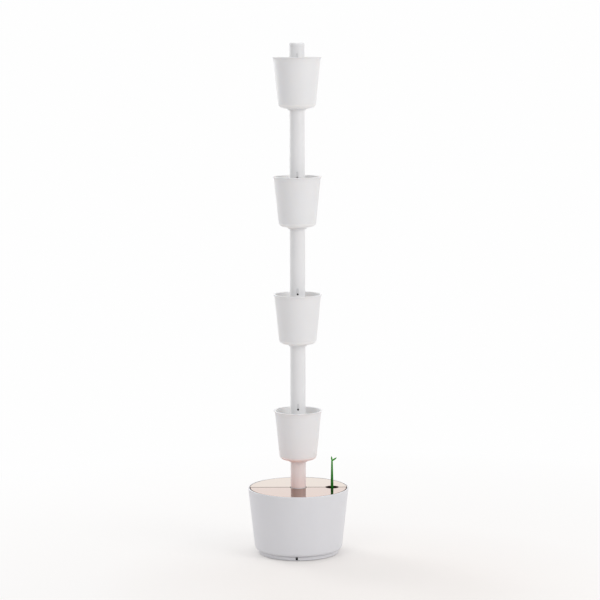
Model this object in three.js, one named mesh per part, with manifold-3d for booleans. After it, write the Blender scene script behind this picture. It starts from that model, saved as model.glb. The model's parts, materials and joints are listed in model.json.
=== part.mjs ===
// Vertical planter tower: a round water tank on a foot ring, a copper mirror lid in two halves,
// a sectioned round post and pots threaded on it. Water is pumped up inside the post to an
// outlet above each pot. Millimetres, +Z up, front towards -Y, origin on the floor under the post.

import * as THREE from 'three';
import { mergeVertices } from 'three/addons/utils/BufferGeometryUtils.js';
import Module from 'manifold-3d';

const wasm = await Module();
wasm.setup();

// Driving dimensions

const GAP = 0.3;

const TUB_RIM_Z = 202;
const TUB_RIM_R = 153.4;
const TUB_WALL_FOOT_Z = 12.6;
const TUB_WALL_FOOT_R = 132.8;
const TUB_FOOT_FILLET = 12;
const TUB_WALL = 4;
const TUB_FLOOR_Z = 28;
const TUB_FLOOR_THICK = 4;
const TUB_SKIRT_R = 118.5;

const RIM_INNER_R = 149.5;
const LEDGE_Z = 195.2;
const LEDGE_R = 143.4;

const FOOT_RING_Z = 1.4;
const FOOT_RING_TOP_Z = 11.6;
const FOOT_RING_R = 122.8;
const FOOT_FLANGE = 12;
const FOOT_FLANGE_THICK = 2.2;
const FOOT_COLLAR_RISE = 8;
const FOOT_COLLAR_WALL = 2.9;
const FOOT_COUNT = 6;
const FOOT_R = 4.5;
const FOOT_CIRCLE_R = 115.5;
const PLATE_THICK = 2.2;

const INLET_HALF_WIDTH = 2.9;
const INLET_Z = 2.9;
const INLET_TOP_Z = 10.8;
const INLET_BACK_R = 104;
const INLET_TURN = THREE.MathUtils.degToRad(-2.5);

const LID_R = 148.3;
const LID_TOP_Z = 201.2;
const LID_MIRROR_THICK = 2;
const LID_BOARD_THICK = 3.4;
const LID_SEAM = 2.4;
const LID_POST_HOLE_R = 24.8;

const FILL_HOLE_X = 103;
const FILL_HOLE_R = 20;

const POST_R = 23.1;
const POST_WALL = 2;
const POST_FOOT_Z = 80.6;
const POST_TOP_Z = 1550.8;
const CAP_HEIGHT = 12;
const CAP_PLUG = 8;
const CAP_FILLET = 4;

const POT_COUNT = 4;
const POT_RIM_TOP_Z = 1507.6;
const POT_PITCH = 356;
const POT_LIP_R = 74.2;
const POT_FLARE_DEPTH = 14;
const POT_WALL = 2.5;
const POT_WALL_TOP_R = 70;
const POT_WALL_FOOT_R = 57.2;
const POT_WALL_FOOT_DEPTH = 144.5;
const POT_DEPTH = 154;
const POT_SHOULDER_FILLET = 14;
const POT_NECK_R = 26.9;
const GRID_DEPTH = 125;
const GRID_THICK = 3;
const GRID_SLOTS = 6;

const HUB_R = 26.4;
const HUB_BORE_R = 23.9;
const HUB_TOP_DEPTH = 12;
const HUB_FLANGE_R = 28.2;
const HUB_FLANGE_THICK = 4;
const HUB_POCKET_R = 25.8;
const SUPPORT_RING_R = 25.2;
const SUPPORT_RING_HEIGHT = 2.2;
const DRAIN_WIDTH = 8;
const DRAIN_HEIGHT = 7;
const DRAIN_RISE = 8;

const JOINT_DEPTH = 80;
const COUPLER_REACH = 35;
const COUPLER_COLLAR = 3;

const OUTLET_TOP_Z = 1501.5;
const OUTLET_PITCH = 352;
const OUTLET_SLOT_WIDTH = 6.4;
const OUTLET_SLOT_RISE = 15;
const OUTLET_BORE_R = 2.4;
const OUTLET_RECESS = 1.6;
const TEE_SEAT = 5;

const HOSE_R = 5;
const HOSE_BORE_R = 3.5;

const PUMP_Y = -78;
const PUMP_R = 26;
const PUMP_FOOT_Z = 32;
const PUMP_CHAMBER_Z = 54;
const PUMP_TOP_Z = 66;
const PUMP_OUTLET_Z = 60;
const PUMP_SPOUT = 34;
const COVER_THICK = 2.7;
const CONTACT_R = 8;

const STEM_LID_R = 4.3;
const STEM_TIP_R = 2.5;
const STEM_TIP_Z = 292;
const FLOAT_R = 15.4;
const FLOAT_FOOT_Z = 30.4;
const FLOAT_HEIGHT = 44;
const PEG_R = 3;
const PEG_LENGTH = 17;

// Round segment counts, coarser on small and hidden pieces

const TUB_SIDES = 32;
const POT_SIDES = 24;
const POST_SIDES = 20;
const SMALL_SIDES = 16;
const INNER_SIDES = 12;
const HOSE_SIDES = 8;

// Colours

const COLOURS = {
  shell: { color: 0xe9e9ea, roughness: 0.55, metalness: 0 },
  copper: { color: 0xdb9a72, roughness: 0.08, metalness: 1 },
  board: { color: 0x33282a, roughness: 0.7, metalness: 0 },
  sprout: { color: 0x2fae2f, roughness: 0.4, metalness: 0 },
  rubber: { color: 0x2b2b2d, roughness: 0.85, metalness: 0 },
  inner: { color: 0xcfd3d6, roughness: 0.6, metalness: 0 },
  pump: { color: 0x1f2226, roughness: 0.5, metalness: 0 },
  hose: { color: 0xbfc9cc, roughness: 0.45, metalness: 0 },
  circuit: { color: 0x1d6b3c, roughness: 0.6, metalness: 0.1 },
};

// Solid helpers

/** Turns a closed three.js geometry into a solid with shared vertices. */
function toSolid(geometry) {
  const bare = geometry.clone();
  bare.deleteAttribute('normal');
  bare.deleteAttribute('uv');
  const merged = mergeVertices(bare, 1e-4);
  const index = merged.getIndex();
  const triangles = [];
  for (let i = 0; i < index.count; i += 3) {
    const corners = [index.getX(i), index.getX(i + 1), index.getX(i + 2)];
    if (new Set(corners).size === 3) triangles.push(...corners);
  }
  return new wasm.Manifold(new wasm.Mesh({
    numProp: 3,
    vertProperties: new Float32Array(merged.getAttribute('position').array),
    triVerts: new Uint32Array(triangles),
  }));
}

/** Turns a solid back into a three.js geometry. */
function toGeometry(solid) {
  const mesh = solid.getMesh();
  const geometry = new THREE.BufferGeometry();
  geometry.setAttribute('position', new THREE.BufferAttribute(new Float32Array(mesh.vertProperties), 3));
  geometry.setIndex(new THREE.BufferAttribute(new Uint32Array(mesh.triVerts), 1));
  geometry.computeVertexNormals();
  return geometry;
}

/** Joins geometries into one. */
function join(first, ...others) {
  return toGeometry(others.reduce((sum, other) => sum.add(toSolid(other)), toSolid(first)));
}

/** Cuts geometries away from the first one. */
function cut(first, ...tools) {
  return toGeometry(tools.reduce((rest, tool) => rest.subtract(toSolid(tool)), toSolid(first)));
}

/** Keeps what two geometries share. */
function common(first, second) {
  return toGeometry(toSolid(first).intersect(toSolid(second)));
}

/** Rounds the corners of an outline; a corner is [r, z] or [r, z, fillet radius, arc steps]. */
function outline(corners, closed) {
  const points = [];
  corners.forEach(([r, z, fillet, steps = 3], i) => {
    const corner = new THREE.Vector2(r, z);
    const end = !closed && (i === 0 || i === corners.length - 1);
    if (!fillet || end) {
      points.push(corner);
      return;
    }
    const before = corners[(i - 1 + corners.length) % corners.length];
    const after = corners[(i + 1) % corners.length];
    const back = new THREE.Vector2(before[0], before[1]).sub(corner).normalize();
    const on = new THREE.Vector2(after[0], after[1]).sub(corner).normalize();
    const half = Math.acos(THREE.MathUtils.clamp(back.dot(on), -1, 1)) / 2;
    const centre = corner.clone().addScaledVector(back.clone().add(on).normalize(), fillet / Math.sin(half));
    const start = corner.clone().addScaledVector(back, fillet / Math.tan(half)).sub(centre);
    const stop = corner.clone().addScaledVector(on, fillet / Math.tan(half)).sub(centre);
    const sweep = Math.atan2(start.cross(stop), start.dot(stop));
    for (let k = 0; k <= steps; k += 1) {
      points.push(start.clone().rotateAround(new THREE.Vector2(), (sweep * k) / steps).add(centre));
    }
  });
  return points;
}

/** Revolves an outline of [r, z] corners about the Z axis. It runs from axis to axis or round a loop. */
function revolve(corners, sides) {
  const onAxis = corners[0][0] === 0 && corners[corners.length - 1][0] === 0;
  const points = outline(corners, !onAxis);
  if (THREE.ShapeUtils.isClockWise(points)) points.reverse();
  if (!onAxis) points.push(points[0].clone());
  return toGeometry(toSolid(new THREE.LatheGeometry(points, sides).rotateX(Math.PI / 2)));
}

/** A plain round tube along Z. */
function tube(innerR, outerR, z0, z1, sides) {
  return revolve([[innerR, z0], [outerR, z0], [outerR, z1], [innerR, z1]], sides);
}

/** A plain round rod along Z. */
function rod(r, z0, z1, sides) {
  return revolve([[0, z0], [r, z0], [r, z1], [0, z1]], sides);
}

/** A box between two corners. */
function block(x0, y0, z0, x1, y1, z1) {
  return new THREE.BoxGeometry(x1 - x0, y1 - y0, z1 - z0)
    .translate((x0 + x1) / 2, (y0 + y1) / 2, (z0 + z1) / 2);
}

/** A flat shape raised from z0 to z1. */
function raise(shape, z0, z1, arcSteps = 6) {
  const depth = z1 - z0;
  return new THREE.ExtrudeGeometry(shape, { depth, bevelEnabled: false, curveSegments: arcSteps })
    .translate(0, 0, z0);
}

/** Copies of a geometry turned about the Z axis. */
function around(geometry, count, startAngle = 0) {
  return Array.from({ length: count }, (_, i) => (
    geometry.clone().rotateZ(startAngle + (i * 2 * Math.PI) / count)
  ));
}

/** One named mesh with its own material. */
function piece(name, geometry, finish) {
  const mesh = new THREE.Mesh(geometry, new THREE.MeshStandardMaterial(COLOURS[finish]));
  mesh.name = name;
  return mesh;
}

/** Outer radius of the tub's wall at a height. */
function tubWallR(z) {
  const slope = (TUB_RIM_R - TUB_WALL_FOOT_R) / (TUB_RIM_Z - TUB_WALL_FOOT_Z);
  return TUB_WALL_FOOT_R + (z - TUB_WALL_FOOT_Z) * slope;
}

/** Outer radius of a pot's wall at a depth under its rim. */
function potWallR(depth) {
  return POT_WALL_TOP_R - ((POT_WALL_TOP_R - POT_WALL_FOOT_R) * (depth - 8)) / (POT_WALL_FOOT_DEPTH - 8);
}

// Water tank

/** Tapered tank with a rounded lower edge, a ledge for the lid and a skirt round the dry bay. */
function baseTub() {
  const innerFootR = tubWallR(TUB_FLOOR_Z) - TUB_WALL;
  const shell = revolve([
    [0, TUB_FLOOR_Z - TUB_FLOOR_THICK],
    [TUB_SKIRT_R, TUB_FLOOR_Z - TUB_FLOOR_THICK],
    [TUB_SKIRT_R, TUB_WALL_FOOT_Z],
    [TUB_WALL_FOOT_R, TUB_WALL_FOOT_Z, TUB_FOOT_FILLET, 3],
    [TUB_RIM_R, TUB_RIM_Z, 1.5, 2],
    [RIM_INNER_R, TUB_RIM_Z],
    [RIM_INNER_R, LEDGE_Z],
    [LEDGE_R, LEDGE_Z],
    [LEDGE_R, LEDGE_Z - 3],
    [tubWallR(LEDGE_Z - 10) - TUB_WALL, LEDGE_Z - 10],
    [innerFootR, TUB_FLOOR_Z, 5, 2],
    [0, TUB_FLOOR_Z],
  ], TUB_SIDES);
  const contactHole = rod(CONTACT_R + 0.4, TUB_FLOOR_Z - 10, TUB_FLOOR_Z + 10, SMALL_SIDES);
  return cut(shell, contactHole.translate(0, PUMP_Y, 0));
}

/** Plinth ring: a collar inside the tank's skirt, a flange for the base plate, a window for the inlet. */
function footRing() {
  const collarR = TUB_SKIRT_R - GAP;
  const flangeR = FOOT_RING_R - FOOT_FLANGE;
  const ring = revolve([
    [flangeR, FOOT_RING_Z],
    [FOOT_RING_R - 1, FOOT_RING_Z],
    [FOOT_RING_R, FOOT_RING_TOP_Z],
    [collarR, FOOT_RING_TOP_Z],
    [collarR, FOOT_RING_TOP_Z + FOOT_COLLAR_RISE],
    [collarR - FOOT_COLLAR_WALL, FOOT_RING_TOP_Z + FOOT_COLLAR_RISE],
    [collarR - FOOT_COLLAR_WALL, FOOT_RING_Z + FOOT_FLANGE_THICK],
    [flangeR, FOOT_RING_Z + FOOT_FLANGE_THICK],
  ], TUB_SIDES);
  const half = INLET_HALF_WIDTH + GAP;
  const window = block(-half, -FOOT_RING_R - 2, INLET_Z - GAP, half, 2 - flangeR, INLET_TOP_Z + GAP);
  return cut(ring, window.rotateZ(INLET_TURN));
}

/** Round plate that closes the dry bay from below, with vents. */
function basePlate() {
  const low = FOOT_RING_Z + FOOT_FLANGE_THICK + GAP;
  const high = low + PLATE_THICK;
  const plate = rod(TUB_SKIRT_R - FOOT_COLLAR_WALL - 2 * GAP, low, high, TUB_SIDES);
  const inletRelief = block(-8, -TUB_SKIRT_R, low - 1, 8, -INLET_BACK_R, high + 1).rotateZ(INLET_TURN);
  const vent = block(40, -2, low - 1, 66, 2, high + 1);
  return cut(plate, inletRelief, ...around(vent, 4, Math.PI / 4));
}

/** Low-voltage socket in the window of the foot ring, with its centre pin. */
function powerInlet() {
  const face = -FOOT_RING_R + 1.4;
  const midZ = (INLET_Z + INLET_TOP_Z) / 2;
  const rear = -INLET_BACK_R - 1.2;
  const body = block(-INLET_HALF_WIDTH, face, INLET_Z, INLET_HALF_WIDTH, rear + 0.2, INLET_TOP_Z);
  const back = block(-6.5, rear - 6.8, 4.6, 6.5, rear, INLET_TOP_Z);
  const bore = rod(2.1, 0, 9, 10).rotateX(-Math.PI / 2).translate(0, face - 1, midZ);
  const pin = rod(0.7, 0, 8, 6).rotateX(-Math.PI / 2).translate(0, face + 1, midZ);
  return join(cut(join(body, back), bore), pin).rotateZ(INLET_TURN);
}

/** Control board in the dry bay, with its chips and capacitors fused on. */
function controlBoard() {
  const low = 10.4;
  const high = low + 1.6;
  const sunk = high - 0.5;
  const driver = block(-28, -100, sunk, -12, -84, high + 4);
  const radio = block(14, -98, sunk, 30, -76, high + 2.5);
  const plug = block(-30, -76, sunk, -22, -62, high + 6);
  const capacitor = rod(4, sunk, high + 8, 10);
  return join(
    block(-34, -104.5, low, 34, -52, high),
    driver,
    radio,
    plug,
    capacitor.clone().translate(22, -64, 0),
    capacitor.clone().translate(12, -60, 0),
  );
}

/** Socket for the post: floor flange, gussets, tall sleeve and a top flange under the lid. */
function columnSocket() {
  const sleeveR = 27.2;
  const boreR = POST_R + GAP;
  const stopR = 19;
  const footR = 46;
  const flangeR = 38;
  const sleeve = revolve([
    [stopR, TUB_FLOOR_Z + GAP],
    [footR, TUB_FLOOR_Z + GAP],
    [footR, TUB_FLOOR_Z + 4.5],
    [sleeveR, TUB_FLOOR_Z + 6],
    [sleeveR, LEDGE_Z - 14],
    [flangeR, LEDGE_Z - 4],
    [flangeR, LEDGE_Z],
    [boreR, LEDGE_Z],
    [boreR, POST_FOOT_Z - GAP],
    [stopR, POST_FOOT_Z - GAP],
  ], POST_SIDES);
  const gussetShape = new THREE.Shape([
    new THREE.Vector2(sleeveR - 1.5, 0),
    new THREE.Vector2(footR - 3, 0),
    new THREE.Vector2(footR - 3, 3),
    new THREE.Vector2(sleeveR - 1.5, 62),
  ]);
  const gusset = raise(gussetShape, -1.5, 1.5).rotateX(Math.PI / 2).translate(0, 0, TUB_FLOOR_Z + 4);
  const drain = block(15, -4, TUB_FLOOR_Z + 8, sleeveR + 4, 4, TUB_FLOOR_Z + 20);
  const hoseHole = rod(HOSE_R + 0.8, 8, 32, 12).rotateX(Math.PI / 2).translate(0, 0, PUMP_OUTLET_Z);
  return cut(
    join(sleeve, ...around(gusset, 4, Math.PI / 4)),
    ...around(drain, 2),
    hoseHole,
  );
}

// Level indicator

/** Slotted tube that keeps the float under the filling hole. */
function floatGuide() {
  const boreR = FLOAT_R + 2;
  const wall = 2;
  const stopR = 12;
  const footR = 21;
  const top = 184;
  const low = TUB_FLOOR_Z + GAP;
  const shell = revolve([
    [stopR, low],
    [footR, low],
    [footR, low + 2.5],
    [boreR + wall, low + 2.5],
    [boreR + wall, top],
    [boreR, top],
    [boreR, FLOAT_FOOT_Z - GAP],
    [stopR, FLOAT_FOOT_Z - GAP],
  ], INNER_SIDES);
  const slot = block(boreR - 4, -2.5, low + 10, boreR + 5, 2.5, top - 14);
  return cut(shell, ...around(slot, 4, Math.PI / 4)).translate(FILL_HOLE_X, 0, 0);
}

/** Float with rounded ends and a socket for the stem. */
function levelFloat() {
  const top = FLOAT_FOOT_Z + FLOAT_HEIGHT;
  return revolve([
    [0, FLOAT_FOOT_Z],
    [FLOAT_R, FLOAT_FOOT_Z, 4, 2],
    [FLOAT_R, top, 4, 2],
    [PEG_R + GAP, top],
    [PEG_R + GAP, top - PEG_LENGTH - 1],
    [0, top - PEG_LENGTH - 1],
  ], INNER_SIDES).translate(FILL_HOLE_X, 0, 0);
}

/** One leaf of the sprout: a pointed blade that leans out from its base. */
function leaf(length, width, thick, lean) {
  const shape = new THREE.Shape();
  shape.moveTo(0, 0);
  shape.quadraticCurveTo(width * 0.75, length * 0.45, 0, length);
  shape.quadraticCurveTo(-width * 0.75, length * 0.45, 0, 0);
  return raise(shape, -thick / 2, thick / 2, 5).rotateX(Math.PI / 2).rotateY(lean);
}

/** Green stem that stands in the float and ends in two small leaves. */
function levelSprout() {
  const floatTop = FLOAT_FOOT_Z + FLOAT_HEIGHT;
  const shoulder = floatTop + GAP;
  const stem = revolve([
    [0, floatTop - PEG_LENGTH],
    [PEG_R, floatTop - PEG_LENGTH],
    [PEG_R, shoulder],
    [STEM_LID_R + 0.6, shoulder],
    [STEM_LID_R, LID_TOP_Z + 10],
    [STEM_TIP_R, STEM_TIP_Z - 8],
    [STEM_TIP_R * 0.5, STEM_TIP_Z],
    [0, STEM_TIP_Z],
  ], INNER_SIDES);
  const upper = leaf(15, 6, 2.6, THREE.MathUtils.degToRad(-4)).translate(-0.4, 0, STEM_TIP_Z - 9);
  const outer = leaf(20, 8, 2.6, THREE.MathUtils.degToRad(52)).translate(0.6, 0, STEM_TIP_Z - 11);
  return join(stem, upper, outer).translate(FILL_HOLE_X, 0, 0);
}

// Lid

/** Half disc with notches for the post and the filling hole. side is -1 for the front half. */
function lidHalf(side, r, z0, z1) {
  const disc = rod(r, z0, z1, TUB_SIDES + 4);
  const seam = LID_SEAM / 2;
  const reach = r + 5;
  const kept = side < 0
    ? block(-reach, -reach, z0 - 1, reach, -seam, z1 + 1)
    : block(-reach, seam, z0 - 1, reach, reach, z1 + 1);
  const postHole = rod(LID_POST_HOLE_R, z0 - 2, z1 + 2, POST_SIDES);
  const fillHole = rod(FILL_HOLE_R, z0 - 2, z1 + 2, POST_SIDES).translate(FILL_HOLE_X, 0, 0);
  return cut(common(disc, kept), postHole, fillHole);
}

/** Mirror sheet of a lid half. */
function lidMirror(side) {
  return lidHalf(side, LID_R, LID_TOP_Z - LID_MIRROR_THICK, LID_TOP_Z);
}

/** Dark board that backs the mirror sheet of a lid half. */
function lidBoard(side) {
  const top = LID_TOP_Z - LID_MIRROR_THICK - 0.1;
  return lidHalf(side, LID_R, top - LID_BOARD_THICK, top);
}

// Pump

/** Motor can with the impeller chamber on top and the outlet spout towards the post. */
function pumpBody() {
  const chamberR = 20.5;
  const pinR = 1.6;
  const can = revolve([
    [0, PUMP_FOOT_Z],
    [PUMP_R, PUMP_FOOT_Z, 2, 1],
    [PUMP_R, PUMP_TOP_Z],
    [chamberR, PUMP_TOP_Z],
    [chamberR, PUMP_CHAMBER_Z],
    [pinR, PUMP_CHAMBER_Z],
    [pinR, PUMP_TOP_Z - 3],
    [0, PUMP_TOP_Z - 3],
  ], SMALL_SIDES);
  const spout = rod(HOSE_R + 1, chamberR + 0.5, PUMP_SPOUT, INNER_SIDES);
  const spoutBore = rod(HOSE_R - 1, chamberR - 5.5, PUMP_SPOUT + 2, INNER_SIDES);
  const [outlet, bore] = [spout, spoutBore].map((pipe) => (
    pipe.rotateX(-Math.PI / 2).translate(0, 0, PUMP_OUTLET_Z)
  ));
  return cut(join(can, outlet), bore).translate(0, PUMP_Y, 0);
}

/** Impeller with swept vanes on a hub that runs on the fixed shaft pin. */
function pumpImpeller() {
  const low = PUMP_CHAMBER_Z + 0.8;
  const high = PUMP_TOP_Z - 1.6;
  const disc = rod(18, low, low + 1.6, SMALL_SIDES);
  const hub = rod(5.5, low, high, 10);
  const vane = new THREE.Shape();
  vane.moveTo(4, -1);
  vane.quadraticCurveTo(11, -2, 16.5, -7.6);
  vane.lineTo(17, -6);
  vane.quadraticCurveTo(12, 0, 4, 1);
  const blades = around(raise(vane, low + 0.8, high, 3), 5);
  const bore = rod(2, low - 1, high + 1, 10);
  return cut(join(disc, hub, ...blades), bore).translate(0, PUMP_Y, 0);
}

/** Cover of the impeller chamber with the inlet neck. */
function pumpCover() {
  const low = PUMP_TOP_Z + GAP;
  const eyeR = 7;
  const neckR = 9;
  return revolve([
    [eyeR, low],
    [PUMP_R, low],
    [PUMP_R, low + COVER_THICK],
    [neckR, low + COVER_THICK],
    [neckR, low + 7],
    [eyeR, low + 7],
  ], SMALL_SIDES).translate(0, PUMP_Y, 0);
}

/** Slotted strainer cup over the pump's inlet. */
function pumpStrainer() {
  const r = PUMP_R - 2;
  const wall = 2;
  const low = PUMP_TOP_Z + COVER_THICK + 2 * GAP;
  const top = low + 17;
  const cup = revolve([
    [r - wall, low],
    [r, low],
    [r, top, 3, 1],
    [0, top],
    [0, top - wall],
    [r - wall, top - wall],
  ], INNER_SIDES);
  const slot = block(r - 5, -1.6, low + 2.5, r + 3, 1.6, top - 5);
  return cut(cup, ...around(slot, 6)).translate(0, PUMP_Y, 0);
}

/** Sealed contact that the pump plugs onto, through the tank floor. */
function pumpContact() {
  const low = TUB_FLOOR_Z + GAP;
  const high = PUMP_FOOT_Z - GAP;
  return revolve([
    [0, 13.2],
    [CONTACT_R, 13.2],
    [CONTACT_R, low],
    [CONTACT_R + 7, low],
    [CONTACT_R + 7, high],
    [0, high],
  ], SMALL_SIDES).translate(0, PUMP_Y, 0);
}

// Post

/** Height of a pot's rim; pot 1 is the top one. */
function rimZ(pot) {
  return POT_RIM_TOP_Z - (pot - 1) * POT_PITCH;
}

/** Height of the outlet that waters a pot, close to the pot's rim. */
function outletZ(pot) {
  return OUTLET_TOP_Z - (pot - 1) * OUTLET_PITCH;
}

/** Height of the joint between two post sections inside a pot. */
function jointZ(pot) {
  return rimZ(pot) - JOINT_DEPTH;
}

/** Stadium-shaped outlet slot through the front of the post, its lower end round the bore. */
function outletSlot(width, reachIn, reachOut) {
  const shape = new THREE.Shape();
  shape.absarc(0, 0, width / 2, Math.PI, 2 * Math.PI, false);
  shape.absarc(0, OUTLET_SLOT_RISE, width / 2, 0, Math.PI, false);
  return raise(shape, reachIn, reachOut, 3).rotateX(Math.PI / 2);
}

/** Gap through both walls of the post or a hub, where a pot's surplus water runs into the post. */
function drainGap(potFloorZ) {
  const low = potFloorZ + DRAIN_RISE;
  return block(-DRAIN_WIDTH / 2, -30, low, DRAIN_WIDTH / 2, 30, low + DRAIN_HEIGHT);
}

/** One section of the post. number 1 stands in the tank and the last one carries the cap. */
function postTube(number) {
  const potBelow = POT_COUNT + 2 - number;
  const potAbove = POT_COUNT + 1 - number;
  const isLowest = number === 1;
  const isHighest = number > POT_COUNT;
  const inset = (COUPLER_COLLAR + GAP) / 2;
  const low = isLowest ? POST_FOOT_Z : jointZ(potBelow) + inset;
  const high = isHighest ? POST_TOP_Z - CAP_HEIGHT - GAP : jointZ(potAbove) - inset;
  const shell = tube(POST_R - POST_WALL, POST_R, low, high, POST_SIDES);
  const tools = [];
  if (!isLowest) {
    tools.push(outletSlot(OUTLET_SLOT_WIDTH, 15, 30).translate(0, 0, outletZ(potBelow)));
  }
  if (!isHighest) tools.push(drainGap(rimZ(potAbove) - POT_DEPTH));
  return cut(shell, ...tools);
}

/** Inner sleeve with a collar flush with the post, between two sections. */
function postCoupler(pot) {
  const collar = COUPLER_COLLAR / 2;
  const r = POST_R - POST_WALL - GAP;
  return revolve([
    [r - 2, -COUPLER_REACH],
    [r, -COUPLER_REACH],
    [r, -collar],
    [POST_R, -collar],
    [POST_R, collar],
    [r, collar],
    [r, COUPLER_REACH],
    [r - 2, COUPLER_REACH],
  ], INNER_SIDES).translate(0, 0, jointZ(pot));
}

/** Cap with a domed edge that plugs into the open top of the post. */
function topCap() {
  const plugR = POST_R - POST_WALL - GAP;
  const low = POST_TOP_Z - CAP_HEIGHT;
  return revolve([
    [plugR - 2, low - CAP_PLUG],
    [plugR, low - CAP_PLUG],
    [plugR, low],
    [POST_R, low],
    [POST_R, POST_TOP_Z, CAP_FILLET, 2],
    [0, POST_TOP_Z],
    [0, POST_TOP_Z - 3],
    [plugR - 2, POST_TOP_Z - 3],
  ], POST_SIDES);
}

/** Ring fixed on the post that carries a pot's hub. */
function supportRing(pot) {
  const low = rimZ(pot) - POT_DEPTH - HUB_FLANGE_THICK;
  return tube(POST_R + 0.6, SUPPORT_RING_R, low, low + SUPPORT_RING_HEIGHT, SMALL_SIDES);
}

/** Outlet tee: joins the riser hoses and ends in the nozzle plate, sunk into the post's slot. */
function outletTee(pot) {
  const reach = POST_R - OUTLET_RECESS;
  const isPassing = pot > 1;
  const body = rod(7, -13, isPassing ? 13 : TEE_SEAT, HOSE_SIDES);
  const branch = rod(4.4, 0, reach - 2, HOSE_SIDES).rotateX(Math.PI / 2);
  const plate = outletSlot(OUTLET_SLOT_WIDTH - 2 * GAP, reach - 2.6, reach);
  const lowerPocket = rod(HOSE_R + GAP, -14, -TEE_SEAT, HOSE_SIDES);
  const riserBore = rod(HOSE_BORE_R, -14, isPassing ? 14 : 2.1, HOSE_SIDES);
  const branchBore = rod(OUTLET_BORE_R, 0, reach + 2, HOSE_SIDES).rotateX(Math.PI / 2);
  const tools = [lowerPocket, riserBore, branchBore];
  if (isPassing) tools.push(rod(HOSE_R + GAP, TEE_SEAT, 14, HOSE_SIDES));
  return cut(join(body, branch, plate), ...tools).translate(0, 0, outletZ(pot));
}

/** Round section of a hose with its bore. */
function hoseSection() {
  const ring = (r) => Array.from({ length: HOSE_SIDES }, (_, i) => {
    const angle = (i * 2 * Math.PI) / HOSE_SIDES;
    return new THREE.Vector2(r * Math.cos(angle), r * Math.sin(angle));
  });
  const shape = new THREE.Shape(ring(HOSE_R));
  shape.holes.push(new THREE.Path(ring(HOSE_BORE_R)));
  return shape;
}

/** Riser hose below an outlet tee. The lowest one comes from the pump and bends up. */
function riserHose(pot) {
  const end = TEE_SEAT + GAP;
  const high = outletZ(pot) - end;
  if (pot < POT_COUNT) {
    return raise(hoseSection(), outletZ(pot + 1) + end, high);
  }
  const bend = 22;
  const start = PUMP_Y + PUMP_SPOUT + GAP;
  const straight = raise(hoseSection(), start, -bend).rotateX(-Math.PI / 2).translate(0, 0, PUMP_OUTLET_Z);
  const rise = raise(hoseSection(), PUMP_OUTLET_Z + bend, high);
  const elbow = new THREE.QuadraticBezierCurve3(
    new THREE.Vector3(0, -bend, PUMP_OUTLET_Z),
    new THREE.Vector3(0, 0, PUMP_OUTLET_Z),
    new THREE.Vector3(0, 0, PUMP_OUTLET_Z + bend),
  );
  const sweep = { steps: 7, bevelEnabled: false, extrudePath: elbow };
  const curve = new THREE.ExtrudeGeometry(hoseSection(), sweep);
  return join(straight, curve, rise);
}

// Pots

/** Tapered pot: a flared lip, a rounded shoulder, a shallow cone floor, a ledge for the grid. */
function potShell() {
  const ledge = GRID_DEPTH + GRID_THICK + GAP;
  const ledgeR = potWallR(ledge) - POT_WALL;
  return revolve([
    [POT_NECK_R, -POT_DEPTH],
    [POT_NECK_R + 2, -POT_DEPTH],
    [POT_WALL_FOOT_R - 1.2, -POT_WALL_FOOT_DEPTH - 3, POT_SHOULDER_FILLET, 2],
    [potWallR(POT_FLARE_DEPTH), -POT_FLARE_DEPTH],
    [potWallR(POT_FLARE_DEPTH) + 1.4, -6],
    [POT_LIP_R - 1.6, -2.4],
    [POT_LIP_R, -1.4],
    [POT_LIP_R, 0],
    [potWallR(0) - POT_WALL, 0],
    [ledgeR, -ledge],
    [ledgeR - 3, -ledge],
    [POT_WALL_FOOT_R - 5.6, -POT_WALL_FOOT_DEPTH - 0.4],
    [POT_NECK_R, -POT_DEPTH + 2.6],
  ], POT_SIDES);
}

/** Sleeve round the post inside a pot. Its flange carries the pot and turns on the support ring. */
function potHub() {
  const flange = -POT_DEPTH - GAP;
  const low = -POT_DEPTH - HUB_FLANGE_THICK;
  const pocketRoof = low + SUPPORT_RING_HEIGHT + GAP;
  const sleeve = revolve([
    [HUB_BORE_R, -HUB_TOP_DEPTH],
    [HUB_R, -HUB_TOP_DEPTH],
    [HUB_R, flange],
    [HUB_FLANGE_R, flange],
    [HUB_FLANGE_R - 0.8, low],
    [HUB_POCKET_R, low],
    [HUB_POCKET_R, pocketRoof],
    [HUB_BORE_R, pocketRoof],
  ], SMALL_SIDES);
  return cut(sleeve, drainGap(-POT_DEPTH));
}

/** Perforated grid that holds the soil above the pot's floor. */
function drainGrid() {
  const low = -GRID_DEPTH - GRID_THICK;
  const outerR = potWallR(GRID_DEPTH + GRID_THICK) - POT_WALL - 0.9;
  const innerR = HUB_R + 0.9;
  const disc = tube(innerR, outerR, low, -GRID_DEPTH, SMALL_SIDES);
  const slot = raise(new THREE.Shape([
    new THREE.Vector2(innerR + 4, -2),
    new THREE.Vector2(outerR - 5, -4),
    new THREE.Vector2(outerR - 5, 4),
    new THREE.Vector2(innerR + 4, 2),
  ]), low - 2, -GRID_DEPTH + 2);
  return cut(disc, ...around(slot, GRID_SLOTS, Math.PI / GRID_SLOTS));
}

// Assembly

const tower = new THREE.Group();

const base = new THREE.Group();
base.add(piece('base_tub', baseTub(), 'shell'));
base.add(piece('foot_ring', footRing(), 'shell'));
base.add(piece('base_plate', basePlate(), 'inner'));
base.add(piece('power_inlet', powerInlet(), 'pump'));
base.add(piece('control_board', controlBoard(), 'circuit'));
base.add(piece('column_socket', columnSocket(), 'inner'));
const rubberFoot = rod(FOOT_R, 0, FOOT_RING_Z - 0.05, 10).translate(FOOT_CIRCLE_R, 0, 0);
around(rubberFoot, FOOT_COUNT, Math.PI / 6).forEach((foot, i) => {
  base.add(piece(`rubber_foot_${i + 1}`, foot, 'rubber'));
});
tower.add(base);

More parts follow.
